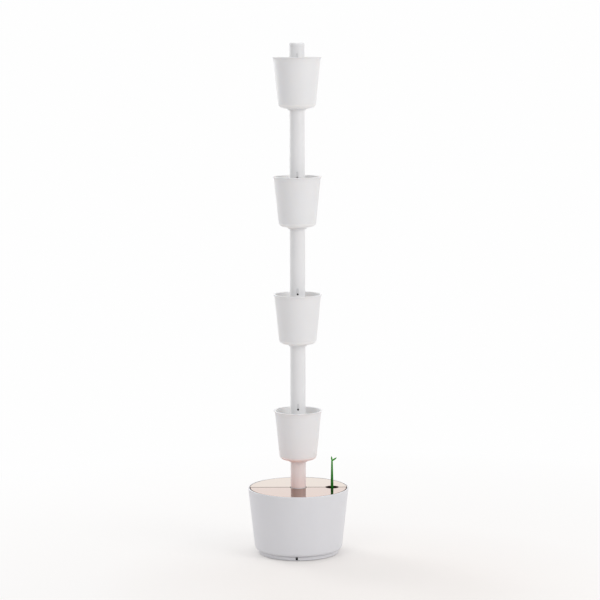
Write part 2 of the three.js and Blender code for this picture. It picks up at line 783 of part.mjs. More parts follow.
const pump = new THREE.Group();
pump.add(piece('pump_contact', pumpContact(), 'pump'));
pump.add(piece('pump_body', pumpBody(), 'pump'));
pump.add(piece('pump_impeller', pumpImpeller(), 'inner'));
pump.add(piece('pump_cover', pumpCover(), 'pump'));
pump.add(piece('pump_strainer', pumpStrainer(), 'pump'));
tower.add(pump);

const indicator = new THREE.Group();
indicator.add(piece('float_guide', floatGuide(), 'inner'));
indicator.add(piece('level_float', levelFloat(), 'inner'));
indicator.add(piece('level_sprout', levelSprout(), 'sprout'));
tower.add(indicator);

const lid = new THREE.Group();
[['front', -1], ['back', 1]].forEach(([name, side]) => {
  lid.add(piece(`lid_${name}_board`, lidBoard(side), 'board'));
  lid.add(piece(`lid_${name}_mirror`, lidMirror(side), 'copper'));
});
tower.add(lid);

const post = new THREE.Group();
for (let number = 1; number <= POT_COUNT + 1; number += 1) {
  post.add(piece(`post_tube_${number}`, postTube(number), 'shell'));
}
post.add(piece('top_cap', topCap(), 'shell'));
tower.add(post);

for (let pot = 1; pot <= POT_COUNT; pot += 1) {
  post.add(piece(`post_coupler_${pot}`, postCoupler(pot), 'inner'));
  post.add(piece(`support_ring_${pot}`, supportRing(pot), 'shell'));
  post.add(piece(`outlet_tee_${pot}`, outletTee(pot), 'shell'));
  post.add(piece(`riser_hose_${pot}`, riserHose(pot), 'hose'));
  const turning = new THREE.Group();
  turning.position.z = rimZ(pot);
  turning.add(piece(`pot_${pot}`, potShell(), 'shell'));
  turning.add(piece(`pot_hub_${pot}`, potHub(), 'shell'));
  turning.add(piece(`drain_grid_${pot}`, drainGrid(), 'inner'));
  tower.add(turning);
}

export default tower;
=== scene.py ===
"""Vertical planter tower: the fine surface and finish of every piece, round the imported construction.

A round water tank on a foot ring carries a copper mirror lid in two halves and a sectioned post
with four turning pots. Sizes are millimetres unless a name says otherwise, and meshes are made in
metres. +Z is up, the front faces -Y and the origin is on the floor under the post.
"""

from __future__ import annotations

import json
import logging
import math
from collections.abc import Callable, Iterable, Sequence
from dataclasses import dataclass
from enum import Enum

import bmesh
import bpy
from mathutils import Matrix, Vector

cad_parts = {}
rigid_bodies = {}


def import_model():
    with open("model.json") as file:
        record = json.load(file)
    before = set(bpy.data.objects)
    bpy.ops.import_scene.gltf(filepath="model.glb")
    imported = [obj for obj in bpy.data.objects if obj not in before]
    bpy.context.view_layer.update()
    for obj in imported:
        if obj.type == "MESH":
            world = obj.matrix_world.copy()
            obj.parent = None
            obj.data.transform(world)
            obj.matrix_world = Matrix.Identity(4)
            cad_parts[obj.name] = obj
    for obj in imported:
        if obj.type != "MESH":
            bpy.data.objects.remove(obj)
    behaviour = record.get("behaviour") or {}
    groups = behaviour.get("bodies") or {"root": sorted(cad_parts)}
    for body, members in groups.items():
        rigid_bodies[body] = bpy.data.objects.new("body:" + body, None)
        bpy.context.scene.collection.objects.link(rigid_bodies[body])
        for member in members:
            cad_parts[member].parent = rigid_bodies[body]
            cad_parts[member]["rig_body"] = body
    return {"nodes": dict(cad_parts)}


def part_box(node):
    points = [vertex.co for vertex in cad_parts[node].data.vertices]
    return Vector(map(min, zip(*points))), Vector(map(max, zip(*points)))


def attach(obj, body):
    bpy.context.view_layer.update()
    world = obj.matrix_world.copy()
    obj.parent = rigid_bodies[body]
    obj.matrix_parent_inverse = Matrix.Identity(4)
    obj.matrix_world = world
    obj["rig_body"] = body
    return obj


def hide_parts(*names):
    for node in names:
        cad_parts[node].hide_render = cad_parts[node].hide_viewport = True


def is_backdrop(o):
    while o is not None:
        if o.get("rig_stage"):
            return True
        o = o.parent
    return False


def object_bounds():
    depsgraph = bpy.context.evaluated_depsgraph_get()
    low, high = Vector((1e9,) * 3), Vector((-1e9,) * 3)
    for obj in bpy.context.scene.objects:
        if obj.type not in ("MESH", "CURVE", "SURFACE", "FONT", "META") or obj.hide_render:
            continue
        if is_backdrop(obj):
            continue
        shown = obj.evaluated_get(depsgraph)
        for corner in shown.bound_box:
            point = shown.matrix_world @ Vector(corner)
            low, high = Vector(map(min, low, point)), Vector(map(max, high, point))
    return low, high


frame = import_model()
construction_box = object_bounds()

LOG = logging.getLogger("planter_tower")

MM = 0.001
CLEARANCE = 0.3
PAST = 2.0
TUB_SIDES = 288
ROUND_SIDES = 192
MEDIUM_SIDES = 128
SMALL_SIDES = 64
ARC_STEP = math.radians(9)
EASE_ANGLE = math.radians(50)
SMOOTH_ANGLE = math.radians(32)
ON_AXIS = 1e-9

# A corner is a radius, a height and, where it is rounded, the radius that rounds it. A profile
# is a run of corners, with heights counted from wherever it is stacked. A box is a width, a
# height and the radius of its corners.
Triple = tuple[float, float, float]
Colour = Triple
Box = Triple
Point = tuple[float, float]
Stops = tuple[Point, ...]
Corner = tuple[float, ...]
Profile = tuple[Corner, ...]
Ring = list[Vector]


# Shader expressions


class Number:
    """A shader socket that holds a number and takes part in Python arithmetic."""

    def __init__(self, tree: ShaderTree, socket: bpy.types.NodeSocket) -> None:
        """Wraps one output socket."""
        self.tree = tree
        self.socket = socket

    def _math(self, operation: str, first: Operand, second: Operand) -> Number:
        """Returns the result of a Math node with Blender's name of an operation."""
        node = self.tree.node("ShaderNodeMath", {"operation": operation}, {0: first, 1: second})
        return Number(self.tree, node.outputs[0])

    def __add__(self, other: Operand) -> Number:
        """Returns self + other."""
        return self._math("ADD", self, other)

    def __radd__(self, other: float) -> Number:
        """Returns other + self."""
        return self._math("ADD", other, self)

    def __sub__(self, other: Operand) -> Number:
        """Returns self - other."""
        return self._math("SUBTRACT", self, other)

    def __mul__(self, other: Operand) -> Number:
        """Returns self * other."""
        return self._math("MULTIPLY", self, other)

    def larger(self, other: Operand) -> Number:
        """Returns the larger of self and other."""
        return self._math("MAXIMUM", self, other)


Operand = Number | float


class ShaderTree:
    """The nodes of one material or of the world."""

    def __init__(self, tree: bpy.types.NodeTree) -> None:
        """Empties a node tree and takes it over."""
        tree.nodes.clear()
        self.tree = tree

    def node(
        self,
        kind: str,
        settings: dict[str, object] | None = None,
        sockets: dict[str | int, object] | None = None,
    ) -> bpy.types.Node:
        """Adds a node.

        Args:
            kind: Blender's name of the node's type.
            settings: Attributes that are set first; "stops" gives a ramp's positions and colours.
            sockets: A value, a Number or a socket to link for each named or numbered input.

        Returns:
            The new node.
        """
        made = self.tree.nodes.new(kind)
        for name, value in (settings or {}).items():
            if name == "stops":
                self._set_stops(made.color_ramp, value)
            else:
                setattr(made, name, value)
        for key, value in (sockets or {}).items():
            source = value.socket if isinstance(value, Number) else value
            if isinstance(source, bpy.types.NodeSocket):
                self.tree.links.new(source, made.inputs[key])
            else:
                made.inputs[key].default_value = source
        return made

    @staticmethod
    def _set_stops(ramp: bpy.types.ColorRamp, stops: Stops) -> None:
        """Gives a ramp its grey stops.

        Args:
            ramp: The ramp, with Blender's own two stops.
            stops: Position and grey level of each stop, in order.
        """
        while len(ramp.elements) < len(stops):
            ramp.elements.new(0.5)
        for element, (position, grey) in zip(ramp.elements, stops):
            element.position = position
            element.color = (grey, grey, grey, 1.0)

    def place(self) -> bpy.types.NodeSocket:
        """Returns the point on the surface, in metres."""
        return self.node("ShaderNodeTexCoord").outputs["Object"]

    def noise(self, size: float, detail: float, stretch: Triple = (1, 1, 1)) -> Number:
        """Adds smooth noise from 0 to 1.

        Args:
            size: Width of one blotch.
            detail: Octaves of finer noise.
            stretch: How many times longer the blotches are along each axis.

        Returns:
            The noise.
        """
        scale = [1 / (size * MM * s) for s in stretch]
        mapped = self.node(
            "ShaderNodeVectorMath", {"operation": "MULTIPLY"}, {0: self.place(), 1: scale}
        )
        node = self.node(
            "ShaderNodeTexNoise",
            {"noise_dimensions": "3D"},
            {"Vector": mapped.outputs[0], "Scale": 1.0, "Detail": detail},
        )
        return Number(self, node.outputs[0])

    def ramp(self, value: Number, stops: Stops) -> Number:
        """Maps a number through straight steps.

        Args:
            value: The number to map.
            stops: Position and result of each stop.

        Returns:
            The mapped number.
        """
        node = self.node("ShaderNodeValToRGB", {"stops": stops}, {0: value})
        return Number(self, node.outputs[0])

    def blend(self, share: Operand, first: object, second: object) -> bpy.types.NodeSocket:
        """Mixes two colours.

        Args:
            share: Share of the second colour.
            first: Colour or socket at share 0.
            second: Colour or socket at share 1.

        Returns:
            The mixed colour's socket.
        """
        sockets = {0: share, 6: opaque(first), 7: opaque(second)}
        return self.node("ShaderNodeMix", {"data_type": "RGBA"}, sockets).outputs[2]

    def bump(self, height: Number) -> bpy.types.NodeSocket:
        """Returns the normal of a surface raised by height, in metres."""
        sockets = {"Height": height, "Distance": 1.0, "Strength": 1.0}
        return self.node("ShaderNodeBump", None, sockets).outputs[0]


def opaque(colour: object) -> object:
    """Returns a colour with its alpha, and a socket as it is."""
    return (*colour, 1.0) if isinstance(colour, tuple) else colour


def darker(colour: Colour, share: float) -> Colour:
    """Returns a colour made darker by a share."""
    return tuple(channel * (1 - share) for channel in colour)


# Finishes


@dataclass(frozen=True)
class Finish:
    """What every finish has: a name, the record's slot, a base colour and a roughness."""

    name: str
    slot: str
    colour: Colour
    roughness: float

    def material(self) -> bpy.types.Material:
        """Returns the finish's material, made at its first use."""
        made = bpy.data.materials.get(self.name)
        if not made:
            made = bpy.data.materials.new(self.name)
            made.use_nodes = True
            tree = ShaderTree(made.node_tree)
            shader = tree.node("ShaderNodeBsdfPrincipled", None, self.sockets(tree))
            tree.node("ShaderNodeOutputMaterial", None, {"Surface": shader.outputs[0]})
        return made

    def sockets(self, tree: ShaderTree) -> dict[str, object]:
        """Returns the shader's inputs by name. Every kind of finish has its own."""
        raise NotImplementedError


@dataclass(frozen=True)
class MouldedFinish(Finish):
    """Moulded plastic or rubber: faint mottling over long sink waves and a fine spark grain."""

    mottle: float = 0.03
    mottle_size: float = 45.0
    grain_size: float = 0.7
    grain_relief: float = 0.008
    wave_size: float = 60.0
    wave_relief: float = 0.05
    touch_size: float = 15.0
    touch_stops: Stops = ((0.35, 0.0), (0.75, 1.0))
    touch_haze: float = 0.08
    polish: float = 0.03
    gloss: float = 0.5
    glow: float = 0.0
    glow_depth: float = 2.0
    glow_tint: Colour = (1.0, 0.9, 0.8)

    def sockets(self, tree: ShaderTree) -> dict[str, object]:
        """Returns the shader's inputs by name."""
        cloud = tree.noise(self.mottle_size, detail=3.0)
        grain = tree.noise(self.grain_size, detail=1.0)
        wave = tree.noise(self.wave_size, detail=0.0)
        touched = tree.ramp(tree.noise(self.touch_size, detail=4.0), self.touch_stops)
        height = grain * (self.grain_relief * MM) + wave * (self.wave_relief * MM)
        return {
            "Base Color": tree.blend(cloud, self.colour, darker(self.colour, self.mottle)),
            "Roughness": self.roughness + touched * self.touch_haze - self.polish,
            "Normal": tree.bump(height),
            "Specular IOR Level": self.gloss,
            "Subsurface Weight": self.glow,
            "Subsurface Radius": self.glow_tint,
            "Subsurface Scale": self.glow_depth * MM,
        }


@dataclass(frozen=True)
class MirrorFinish(Finish):
    """Copper mirror film under a clear sheet, with a trace of wiping haze."""

    edge_tint: Colour = (0.64, 0.93, 1.0)
    haze: float = 0.05
    haze_size: float = 55.0
    haze_stretch: Triple = (2.5, 1.0, 1.0)
    haze_stops: Stops = ((0.4, 0.0), (0.7, 1.0))
    streak: float = 0.04

    def sockets(self, tree: ShaderTree) -> dict[str, object]:
        """Returns the shader's inputs by name."""
        wiping = tree.noise(self.haze_size, 4.0, self.haze_stretch)
        smears = tree.ramp(wiping, self.haze_stops)
        return {
            "Base Color": tree.blend(wiping, self.colour, darker(self.colour, self.streak)),
            "Metallic": 1.0,
            "Roughness": self.roughness + smears * self.haze,
            "Specular Tint": opaque(self.edge_tint),
        }


@dataclass(frozen=True)
class BladeFinish(Finish):
    """Tinted plastic of the sprout with faint flow lines; lighter up its height as painted light."""

    lit_tip_colour: Colour = (0.03, 0.31, 0.008)
    root_height: float = 210.0
    tip_height: float = 285.0
    flow_size: float = 1.2
    flow_stretch: Triple = (1.0, 1.0, 14.0)
    flow_relief: float = 0.03
    flow_haze: float = 0.1
    gloss: float = 0.15
    glow: float = 0.1
    glow_depth: float = 2.0

    def sockets(self, tree: ShaderTree) -> dict[str, object]:
        """Returns the shader's inputs by name."""
        height = Number(tree, tree.node("ShaderNodeSeparateXYZ", None, {0: tree.place()}).outputs[2])
        span = (self.tip_height - self.root_height) * MM
        climb = (height - self.root_height * MM) * (1 / span)
        share = tree.ramp(climb, ((0.0, 0.0), (1.0, 1.0)))
        flow = tree.noise(self.flow_size, 2.0, self.flow_stretch)
        return {
            # Painted light and shade: the green runs from the darker root colour up to the lighter tip
            # colour.
            "Base Color": tree.blend(share, self.colour, self.lit_tip_colour),
            "Roughness": self.roughness + flow * self.flow_haze,
            "Normal": tree.bump(flow * (self.flow_relief * MM)),
            "Specular IOR Level": self.gloss,
            "Subsurface Weight": self.glow,
            "Subsurface Scale": self.glow_depth * MM,
        }


@dataclass(frozen=True)
class CircuitFinish(Finish):
    """Lacquered circuit board with fine tracks, laid as the joints of a brick pattern."""

    track_colour: Colour = (0.02, 0.14, 0.05)
    track_pitch: float = 2.4
    track_share: float = 0.06
    rows_per_unit: int = 4
    mottle: float = 0.1
    lacquer: float = 0.4

    def sockets(self, tree: ShaderTree) -> dict[str, object]:
        """Returns the shader's inputs by name."""
        inputs = {
            "Vector": tree.place(),
            "Scale": 1 / (self.track_pitch * MM * self.rows_per_unit),
            "Mortar Size": self.track_share,
            "Color1": opaque(self.colour),
            "Color2": opaque(darker(self.colour, self.mottle)),
            "Mortar": opaque(self.track_colour),
        }
        tracks = tree.node("ShaderNodeTexBrick", {"offset": 0.5}, inputs).outputs[0]
        return {"Base Color": tracks, "Roughness": self.roughness, "Coat Weight": self.lacquer}


@dataclass(frozen=True)
class MetalFinish(Finish):
    """Plated metal of pins and screws, lightly brushed."""

    brush_size: float = 0.4
    brush_stretch: Triple = (6.0, 1.0, 1.0)
    brush_shade: float = 0.15
    brush_haze: float = 0.12

    def sockets(self, tree: ShaderTree) -> dict[str, object]:
        """Returns the shader's inputs by name."""
        brushed = tree.noise(self.brush_size, 2.0, self.brush_stretch)
        return {
            "Base Color": tree.blend(brushed, self.colour, darker(self.colour, self.brush_shade)),
            "Metallic": 1.0,
            "Roughness": self.roughness + brushed * self.brush_haze,
        }


# Painted shade and light: one satin white plastic in three brightnesses, the tub darkest near the floor,
# the post lighter and the pots lightest.
SHELL = MouldedFinish("satin_white_shell", "shell", (0.80, 0.80, 0.825), 0.45, glow=0.05)
POST_SHELL = MouldedFinish("satin_white_post", "shell", (0.86, 0.86, 0.865), 0.42, glow=0.05)
POT_SHELL = MouldedFinish("satin_white_pot", "shell", (0.88, 0.88, 0.885), 0.5, glow=0.2, gloss=0.3)
# Painted light: the pots' inner side is a paler white than their outside, for the light that gathers in
# their hollows.
POT_INSIDE_PAINTED_LIGHT = MouldedFinish("pale_pot_inside", "shell", (0.97, 0.965, 0.96), 0.55, glow=0.2, gloss=0.3)
NOZZLE = MouldedFinish("white_nozzle", "shell", (0.74, 0.74, 0.75), 0.4)
# Painted shade: a near black lining for the holes of the lower outlets.
BORE_PAINTED_SHADE = MouldedFinish("dark_wet_bore", "shell", (0.006, 0.006, 0.007), 0.5, 0.1, gloss=0.1)
COPPER_FRONT = MirrorFinish("copper_mirror_front", "copper_mirror", (0.70, 0.25, 0.15), 0.02)
# Painted reflection: the back half's copper is a paler copy of the front's, for the brighter reflection it
# shows.
COPPER_BACK_PAINTED_REFLECTION = MirrorFinish(
    "copper_mirror_back", "copper_mirror", (0.70, 0.262, 0.205), 0.02, edge_tint=(0.68, 1.0, 1.0)
)
# Painted shade: the mirror sheets' cut edges and undersides are dark brown, for the shade in the gaps
# round the lid halves and along the seam; the board's edges are dark in any case.
LID_EDGE_PAINTED_SHADE = MouldedFinish("brown_cut_edge", "copper_mirror", (0.05, 0.022, 0.014), 0.5, 0.1, gloss=0.1)
BOARD = MouldedFinish("dark_lid_board", "lid_board", (0.045, 0.03, 0.03), 0.6, grain_relief=0.02)
SPROUT = BladeFinish("sprout_green_blade", "sprout_green", (0.012, 0.17, 0.012), 0.35)
RUBBER = MouldedFinish("black_foot_rubber", "foot_rubber", (0.02, 0.02, 0.022), 0.8, 0.1)
INNER = MouldedFinish("grey_inner_plastic", "inner_plastic", (0.55, 0.58, 0.6), 0.5)
SOCKET = MouldedFinish("black_socket", "pump_plastic", (0.004, 0.004, 0.005), 0.6, 0.1, gloss=0.1)
PUMP = MouldedFinish("black_pump_plastic", "pump_plastic", (0.014, 0.015, 0.018), 0.4, 0.1)
HOSE = MouldedFinish("milky_hose", "hose_plastic", (0.5, 0.56, 0.58), 0.3, glow=0.4, grain_relief=0.002)
CIRCUIT = CircuitFinish("green_circuit_board", "circuit_board", (0.015, 0.1, 0.035), 0.35)
PLATED = MetalFinish("plated_steel", "pump_plastic", (0.6, 0.6, 0.58), 0.25)


# Outlines


def spread(start: float, stop: float, steps: int) -> list[float]:
    """Returns the values from start to stop in equal steps, both included."""
    return [start + (stop - start) * k / steps for k in range(steps + 1)]


def full_turn(count: int) -> list[float]:
    """Returns angles round a full turn in equal steps."""
    return spread(0.0, 2 * math.pi, count)[:-1]


def arc(centre: Point, radius: float, start: float, stop: float, steps: int = 0) -> list[Point]:
    """Points along an arc in the plane.

    Args:
        centre: The arc's centre.
        radius: Its radius.
        start: Angle of its first point, in radians.
        stop: Angle of its last point, in radians.
        steps: Steps along it, or 0 for as many as it needs.

    Returns:
        The points, first and last included.
    """
    steps = steps or max(4, math.ceil(abs(stop - start) / (ARC_STEP / 3)))
    angles = spread(start, stop, steps)
    return [(centre[0] + radius * math.cos(a), centre[1] + radius * math.sin(a)) for a in angles]


def rounded_box(width: float, height: float, corner: float) -> list[Point]:
    """Outline of a rectangle about the origin.

    Args:
        width: Its size along the first axis.
        height: Its size along the second axis.
        corner: Radius of its corners.

    Returns:
        The outline's points.
    """
    x, y = width / 2 - corner, height / 2 - corner
    points: list[Point] = []
    for quarter, centre in enumerate([(x, y), (-x, y), (-x, -y), (x, -y)]):
        points += arc(centre, corner, quarter * math.pi / 2, (quarter + 1) * math.pi / 2)
    return points


def rounded(corners: Sequence[Corner], closed: bool) -> list[Vector]:
    """Rounds the corners of an outline.

    Args:
        corners: Radius and height of each corner, and the radius that rounds it if it is round.
        closed: Whether the outline runs back to its first corner.

    Returns:
        The outline's points, with arcs in short steps.
    """
    points: list[Vector] = []
    last = len(corners) - 1
    for index, (r, z, *fillet) in enumerate(corners):
        here = Vector((r, z))
        if not fillet or (not closed and index in (0, last)):
            points.append(here)
            continue
        back = (Vector(corners[index - 1][:2]) - here).normalized()
        onward = (Vector(corners[0 if index == last else index + 1][:2]) - here).normalized()
        half = back.angle(onward) / 2
        centre = here + (back + onward).normalized() * fillet[0] / math.sin(half)
        start = here + back * fillet[0] / math.tan(half) - centre
        sweep = (math.pi - 2 * half) * (1 if back.cross(onward) < 0 else -1)
        angles = spread(0.0, sweep, max(2, math.ceil(abs(sweep) / ARC_STEP)))
        points += [centre + Matrix.Rotation(angle, 2) @ start for angle in angles]
    return points


def divided(points: list[Vector], step: float, closed: bool) -> list[Vector]:
    """Divides an outline's long straight runs.

    Args:
        points: The outline.
        step: Longest run that stays whole.
        closed: Whether the outline runs back to its first point.

    Returns:
        The outline with points added along its long runs.
    """
    dense: list[Vector] = []
    following = points[1:] + (points[:1] if closed else [])
    for here, there in zip(points, following):
        parts = max(1, math.ceil((there - here).length / step))
        dense += [here.lerp(there, share) for share in spread(0.0, 1.0, parts)[:-1]]
    return dense if closed else [*dense, points[-1]]


def turn(degrees: float, axis: str) -> Matrix:
    """Returns a turn about an axis."""
    return Matrix.Rotation(math.radians(degrees), 4, axis)


# Solids


class Join(Enum):
    """How a solid is joined with others."""

    CUT = "DIFFERENCE"
    ADD = "UNION"


class Solid:
    """A closed mesh under construction, in metres."""

    def __init__(self, mesh: bpy.types.Mesh) -> None:
        """Takes over a closed mesh."""
        self.mesh = mesh

    @classmethod
    def from_faces(cls, points: Iterable[Sequence[float]], faces: Sequence[Sequence[int]]) -> Solid:
        """Makes a solid from its corners and faces.

        Args:
            points: The corners, in millimetres.
            faces: The corner numbers of each face.

        Returns:
            The solid, its faces turned outwards.
        """
        mesh = bpy.data.meshes.new("solid")
        mesh.from_pydata([tuple(Vector(point) * MM) for point in points], [], faces)
        work = bmesh.new()
        work.from_mesh(mesh)
        bmesh.ops.recalc_face_normals(work, faces=work.faces)
        work.to_mesh(mesh)
        work.free()
        return cls(mesh)

    @classmethod
    def loft(cls, rings: Sequence[Ring], closed: bool) -> Solid:
        """Joins rings of points by bands of faces.

        Args:
            rings: Rings of equal counts, or of one point where the loft closes on itself.
            closed: Whether the last ring runs on into the first.

        Returns:
            The lofted solid.
        """
        starts = [sum(len(ring) for ring in rings[:k]) for k in range(len(rings))]
        count = max(len(ring) for ring in rings)
        pairs = list(zip(range(len(rings)), range(1, len(rings))))
        if closed:
            pairs.append((len(rings) - 1, 0))
        faces = []
        for low, high in pairs:
            for k in range(count):
                corners = [(low, k), (low, k + 1), (high, k + 1), (high, k)]
                quad = [starts[ring] + side % len(rings[ring]) for ring, side in corners]
                faces.append(list(dict.fromkeys(quad)))
        return cls.from_faces([point for ring in rings for point in ring], faces)

    @classmethod
    def turned(
        cls, *stages: tuple[Profile, float], sides: int = MEDIUM_SIDES, ring_step: float = math.inf
    ) -> Solid:
        """Turns an outline about the upright axis.

        Args:
            stages: Each profile of the outline and the height that it is stacked on, in order. The
                outline runs from axis to axis, or round a loop if it starts away from the axis.
            sides: Faces round the axis.
            ring_step: Longest run along the outline that stays whole.

        Returns:
            The turned solid.
        """
        corners = [(r, foot + z, *fillet) for profile, foot in stages for r, z, *fillet in profile]
        closed = corners[0][0] > ON_AXIS
        rings = []
        for r, z in divided(rounded(corners, closed), ring_step, closed):
            angles = full_turn(sides if r > ON_AXIS else 1)
            rings.append([Vector((r * math.cos(a), r * math.sin(a), z)) for a in angles])
        return cls.loft(rings, closed)

    @classmethod
    def rod(cls, radius: float, low: float, high: float) -> Solid:
        """Returns a plain upright rod on the origin."""
        foot, top = ((0, low), (radius, low)), ((radius, high), (0, high))
        return cls.turned((foot, 0), (top, 0), sides=SMALL_SIDES)

    @classmethod
    def prism(cls, outline: Sequence[Point], low: float, high: float) -> Solid:
        """Raises a flat outline.

        Args:
            outline: The outline's points in the XY plane.
            low: Height of its lower face.
            high: Height of its upper face.

        Returns:
            The prism.
        """
        count = len(outline)
        points = [(x, y, z) for z in (low, high) for x, y in outline]
        walls = [(k, (k + 1) % count, count + (k + 1) % count, count + k) for k in range(count)]
        return cls.from_faces(points, [range(count), range(count, 2 * count), *walls])

    @classmethod
    def block(cls, low: Sequence[float], high: Sequence[float]) -> Solid:
        """Returns a box between two corners."""
        outline = [(low[0], low[1]), (high[0], low[1]), (high[0], high[1]), (low[0], high[1])]
        return cls.prism(outline, low[2], high[2])

    @classmethod
    def hose(cls, path: Sequence[Vector], outer: float, bore: float) -> Solid:
        """Sweeps a hose along a path that stays in the upright plane of the Y axis.

        Args:
            path: The points that the hose's middle follows.
            outer: Outer radius.
            bore: Bore radius.

        Returns:
            The hose, open at both ends.
        """
        last = len(path) - 1
        across = Vector((1, 0, 0))
        outside: list[Ring] = []
        inside: list[Ring] = []
        for index, point in enumerate(path):
            onward = (path[min(index + 1, last)] - path[max(index - 1, 0)]).normalized()
            up = onward.cross(across)
            spokes = [across * math.cos(a) + up * math.sin(a) for a in full_turn(SMALL_SIDES)]
            outside.append([point + spoke * outer for spoke in spokes])
            inside.insert(0, [point + spoke * bore for spoke in spokes])
        return cls.loft([*outside, *inside], closed=True)

    def modified(self, *steps: tuple[str, dict[str, object]]) -> Solid:
        """Applies modifiers.

        Args:
            steps: Type and settings of each modifier, in order.

        Returns:
            A new solid with the modifiers applied.
        """
        body = linked("work_piece", self.mesh)
        for kind, settings in steps:
            modifier = body.modifiers.new(kind.lower(), kind)
            for name, value in settings.items():
                setattr(modifier, name, value)
        evaluated = body.evaluated_get(bpy.context.evaluated_depsgraph_get())
        mesh = bpy.data.meshes.new_from_object(evaluated)
        bpy.data.objects.remove(body)
        return Solid(mesh)

    def _joined(self, how: Join, others: Sequence[Solid]) -> Solid:
        """Joins this solid with others in one of the ways of Join."""
        tools = [linked("work_tool", other.mesh) for other in others]
        settings = [{"operation": how.value, "solver": "EXACT", "object": tool} for tool in tools]
        made = self.modified(*(("BOOLEAN", setting) for setting in settings))
        for tool in tools:
            bpy.data.objects.remove(tool)
        return made

    def cut(self, *tools: Solid) -> Solid:
        """Returns this solid with the tools cut away."""
        return self._joined(Join.CUT, tools)

    def plus(self, *others: Solid) -> Solid:
        """Returns this solid fused with the others."""
        return self._joined(Join.ADD, others)

    def moved(self, *steps: Matrix) -> Solid:
        """Returns a copy, moved by each matrix in turn."""
        mesh = self.mesh.copy()
        for step in steps:
            mesh.transform(step)
        return Solid(mesh)

    def shifted(self, x: float, y: float, z: float) -> Solid:
        """Returns a copy, shifted by millimetres."""
        return self.moved(Matrix.Translation(Vector((x, y, z)) * MM))

    def facing_front(self) -> Solid:
        """Returns a copy tipped so that +Z turns to -Y and +Y turns to +Z."""
        return self.moved(turn(90, "X"))

    def around(self, count: int, start_degrees: float = 0.0) -> list[Solid]:
        """Returns copies turned about the upright axis in equal steps."""
        return [self.moved(turn(start_degrees + 360 * k / count, "Z")) for k in range(count)]

    def eased(self, width: float) -> Solid:
        """Returns this solid with its sharp edges eased by a width."""
        settings = {"width": width * MM, "segments": 2, "limit_method": "ANGLE"}
        return self.modified(("BEVEL", {**settings, "angle_limit": EASE_ANGLE}))

    def melted(self, voxel: float, rounds: int) -> Solid:
        """Melts joined shapes into one soft skin.

        Args:
            voxel: Size of the skin's faces.
            rounds: Rounds of smoothing.

        Returns:
            The melted solid.
        """
        return self.modified(
            ("REMESH", {"mode": "VOXEL", "voxel_size": voxel * MM}),
            ("SMOOTH", {"factor": 0.5, "iterations": rounds}),
        )


# Pieces


def linked(name: str, data: bpy.types.ID) -> bpy.types.Object:
    """Returns a new object in the scene."""
    made = bpy.data.objects.new(name, data)
    bpy.context.scene.collection.objects.link(made)
    return made


def reach(node: str) -> tuple[Vector, Vector]:
    """Returns the lowest and highest corner of a construction node, in millimetres."""
    low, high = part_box(node)
    return low / MM, high / MM


def heights(node: str) -> tuple[float, float]:
    """Returns the lowest and highest height of a construction node, in millimetres."""
    low, high = reach(node)
    return low.z, high.z


def dress(solid: Solid, node: str, finish: Finish, name: str = "") -> bpy.types.Object:
    """Puts a fine surface in the place of a construction node, or beside it.

    Args:
        solid: The piece's surface.
        node: The node that the piece replaces, or rides beside if the piece has its own name.
        finish: What it is made of.
        name: The piece's name, if it replaces nothing.

    Returns:
        The piece.
    """
    piece = linked(name or f"{node}_surface", solid.mesh)
    piece.data.materials.clear()
    piece.data.materials.append(finish.material())
    piece.data.shade_smooth()
    piece.data.set_sharp_from_angle(angle=SMOOTH_ANGLE)
    even = piece.modifiers.new("even_normals", "WEIGHTED_NORMAL")
    even.keep_sharp = True
    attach(piece, frame["nodes"][node]["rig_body"])
    if not name:
        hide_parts(node)
    LOG.info("%s: %s, %d faces", piece.name, finish.name, len(piece.data.polygons))
    return piece


def line(piece: bpy.types.Object, finish: Finish, is_lined: Callable[[Vector], bool]) -> None:
    """Gives some of a piece's faces a second finish.

    Args:
        piece: The piece.
        finish: What these faces are made of.
        is_lined: Tells from a face's middle, in millimetres, whether it is one of them.
    """
    piece.data.materials.append(finish.material())
    for face in piece.data.polygons:
        if is_lined(face.center / MM):
            face.material_index = 1


def recoat(node: str, finish: Finish) -> None:
    """Gives a construction node that keeps its own shape its finish."""
    piece = frame["nodes"][node]
    piece.data.materials.clear()
    piece.data.materials.append(finish.material())
    LOG.info("%s: %s, construction shape", node, finish.name)


# Sub-assemblies


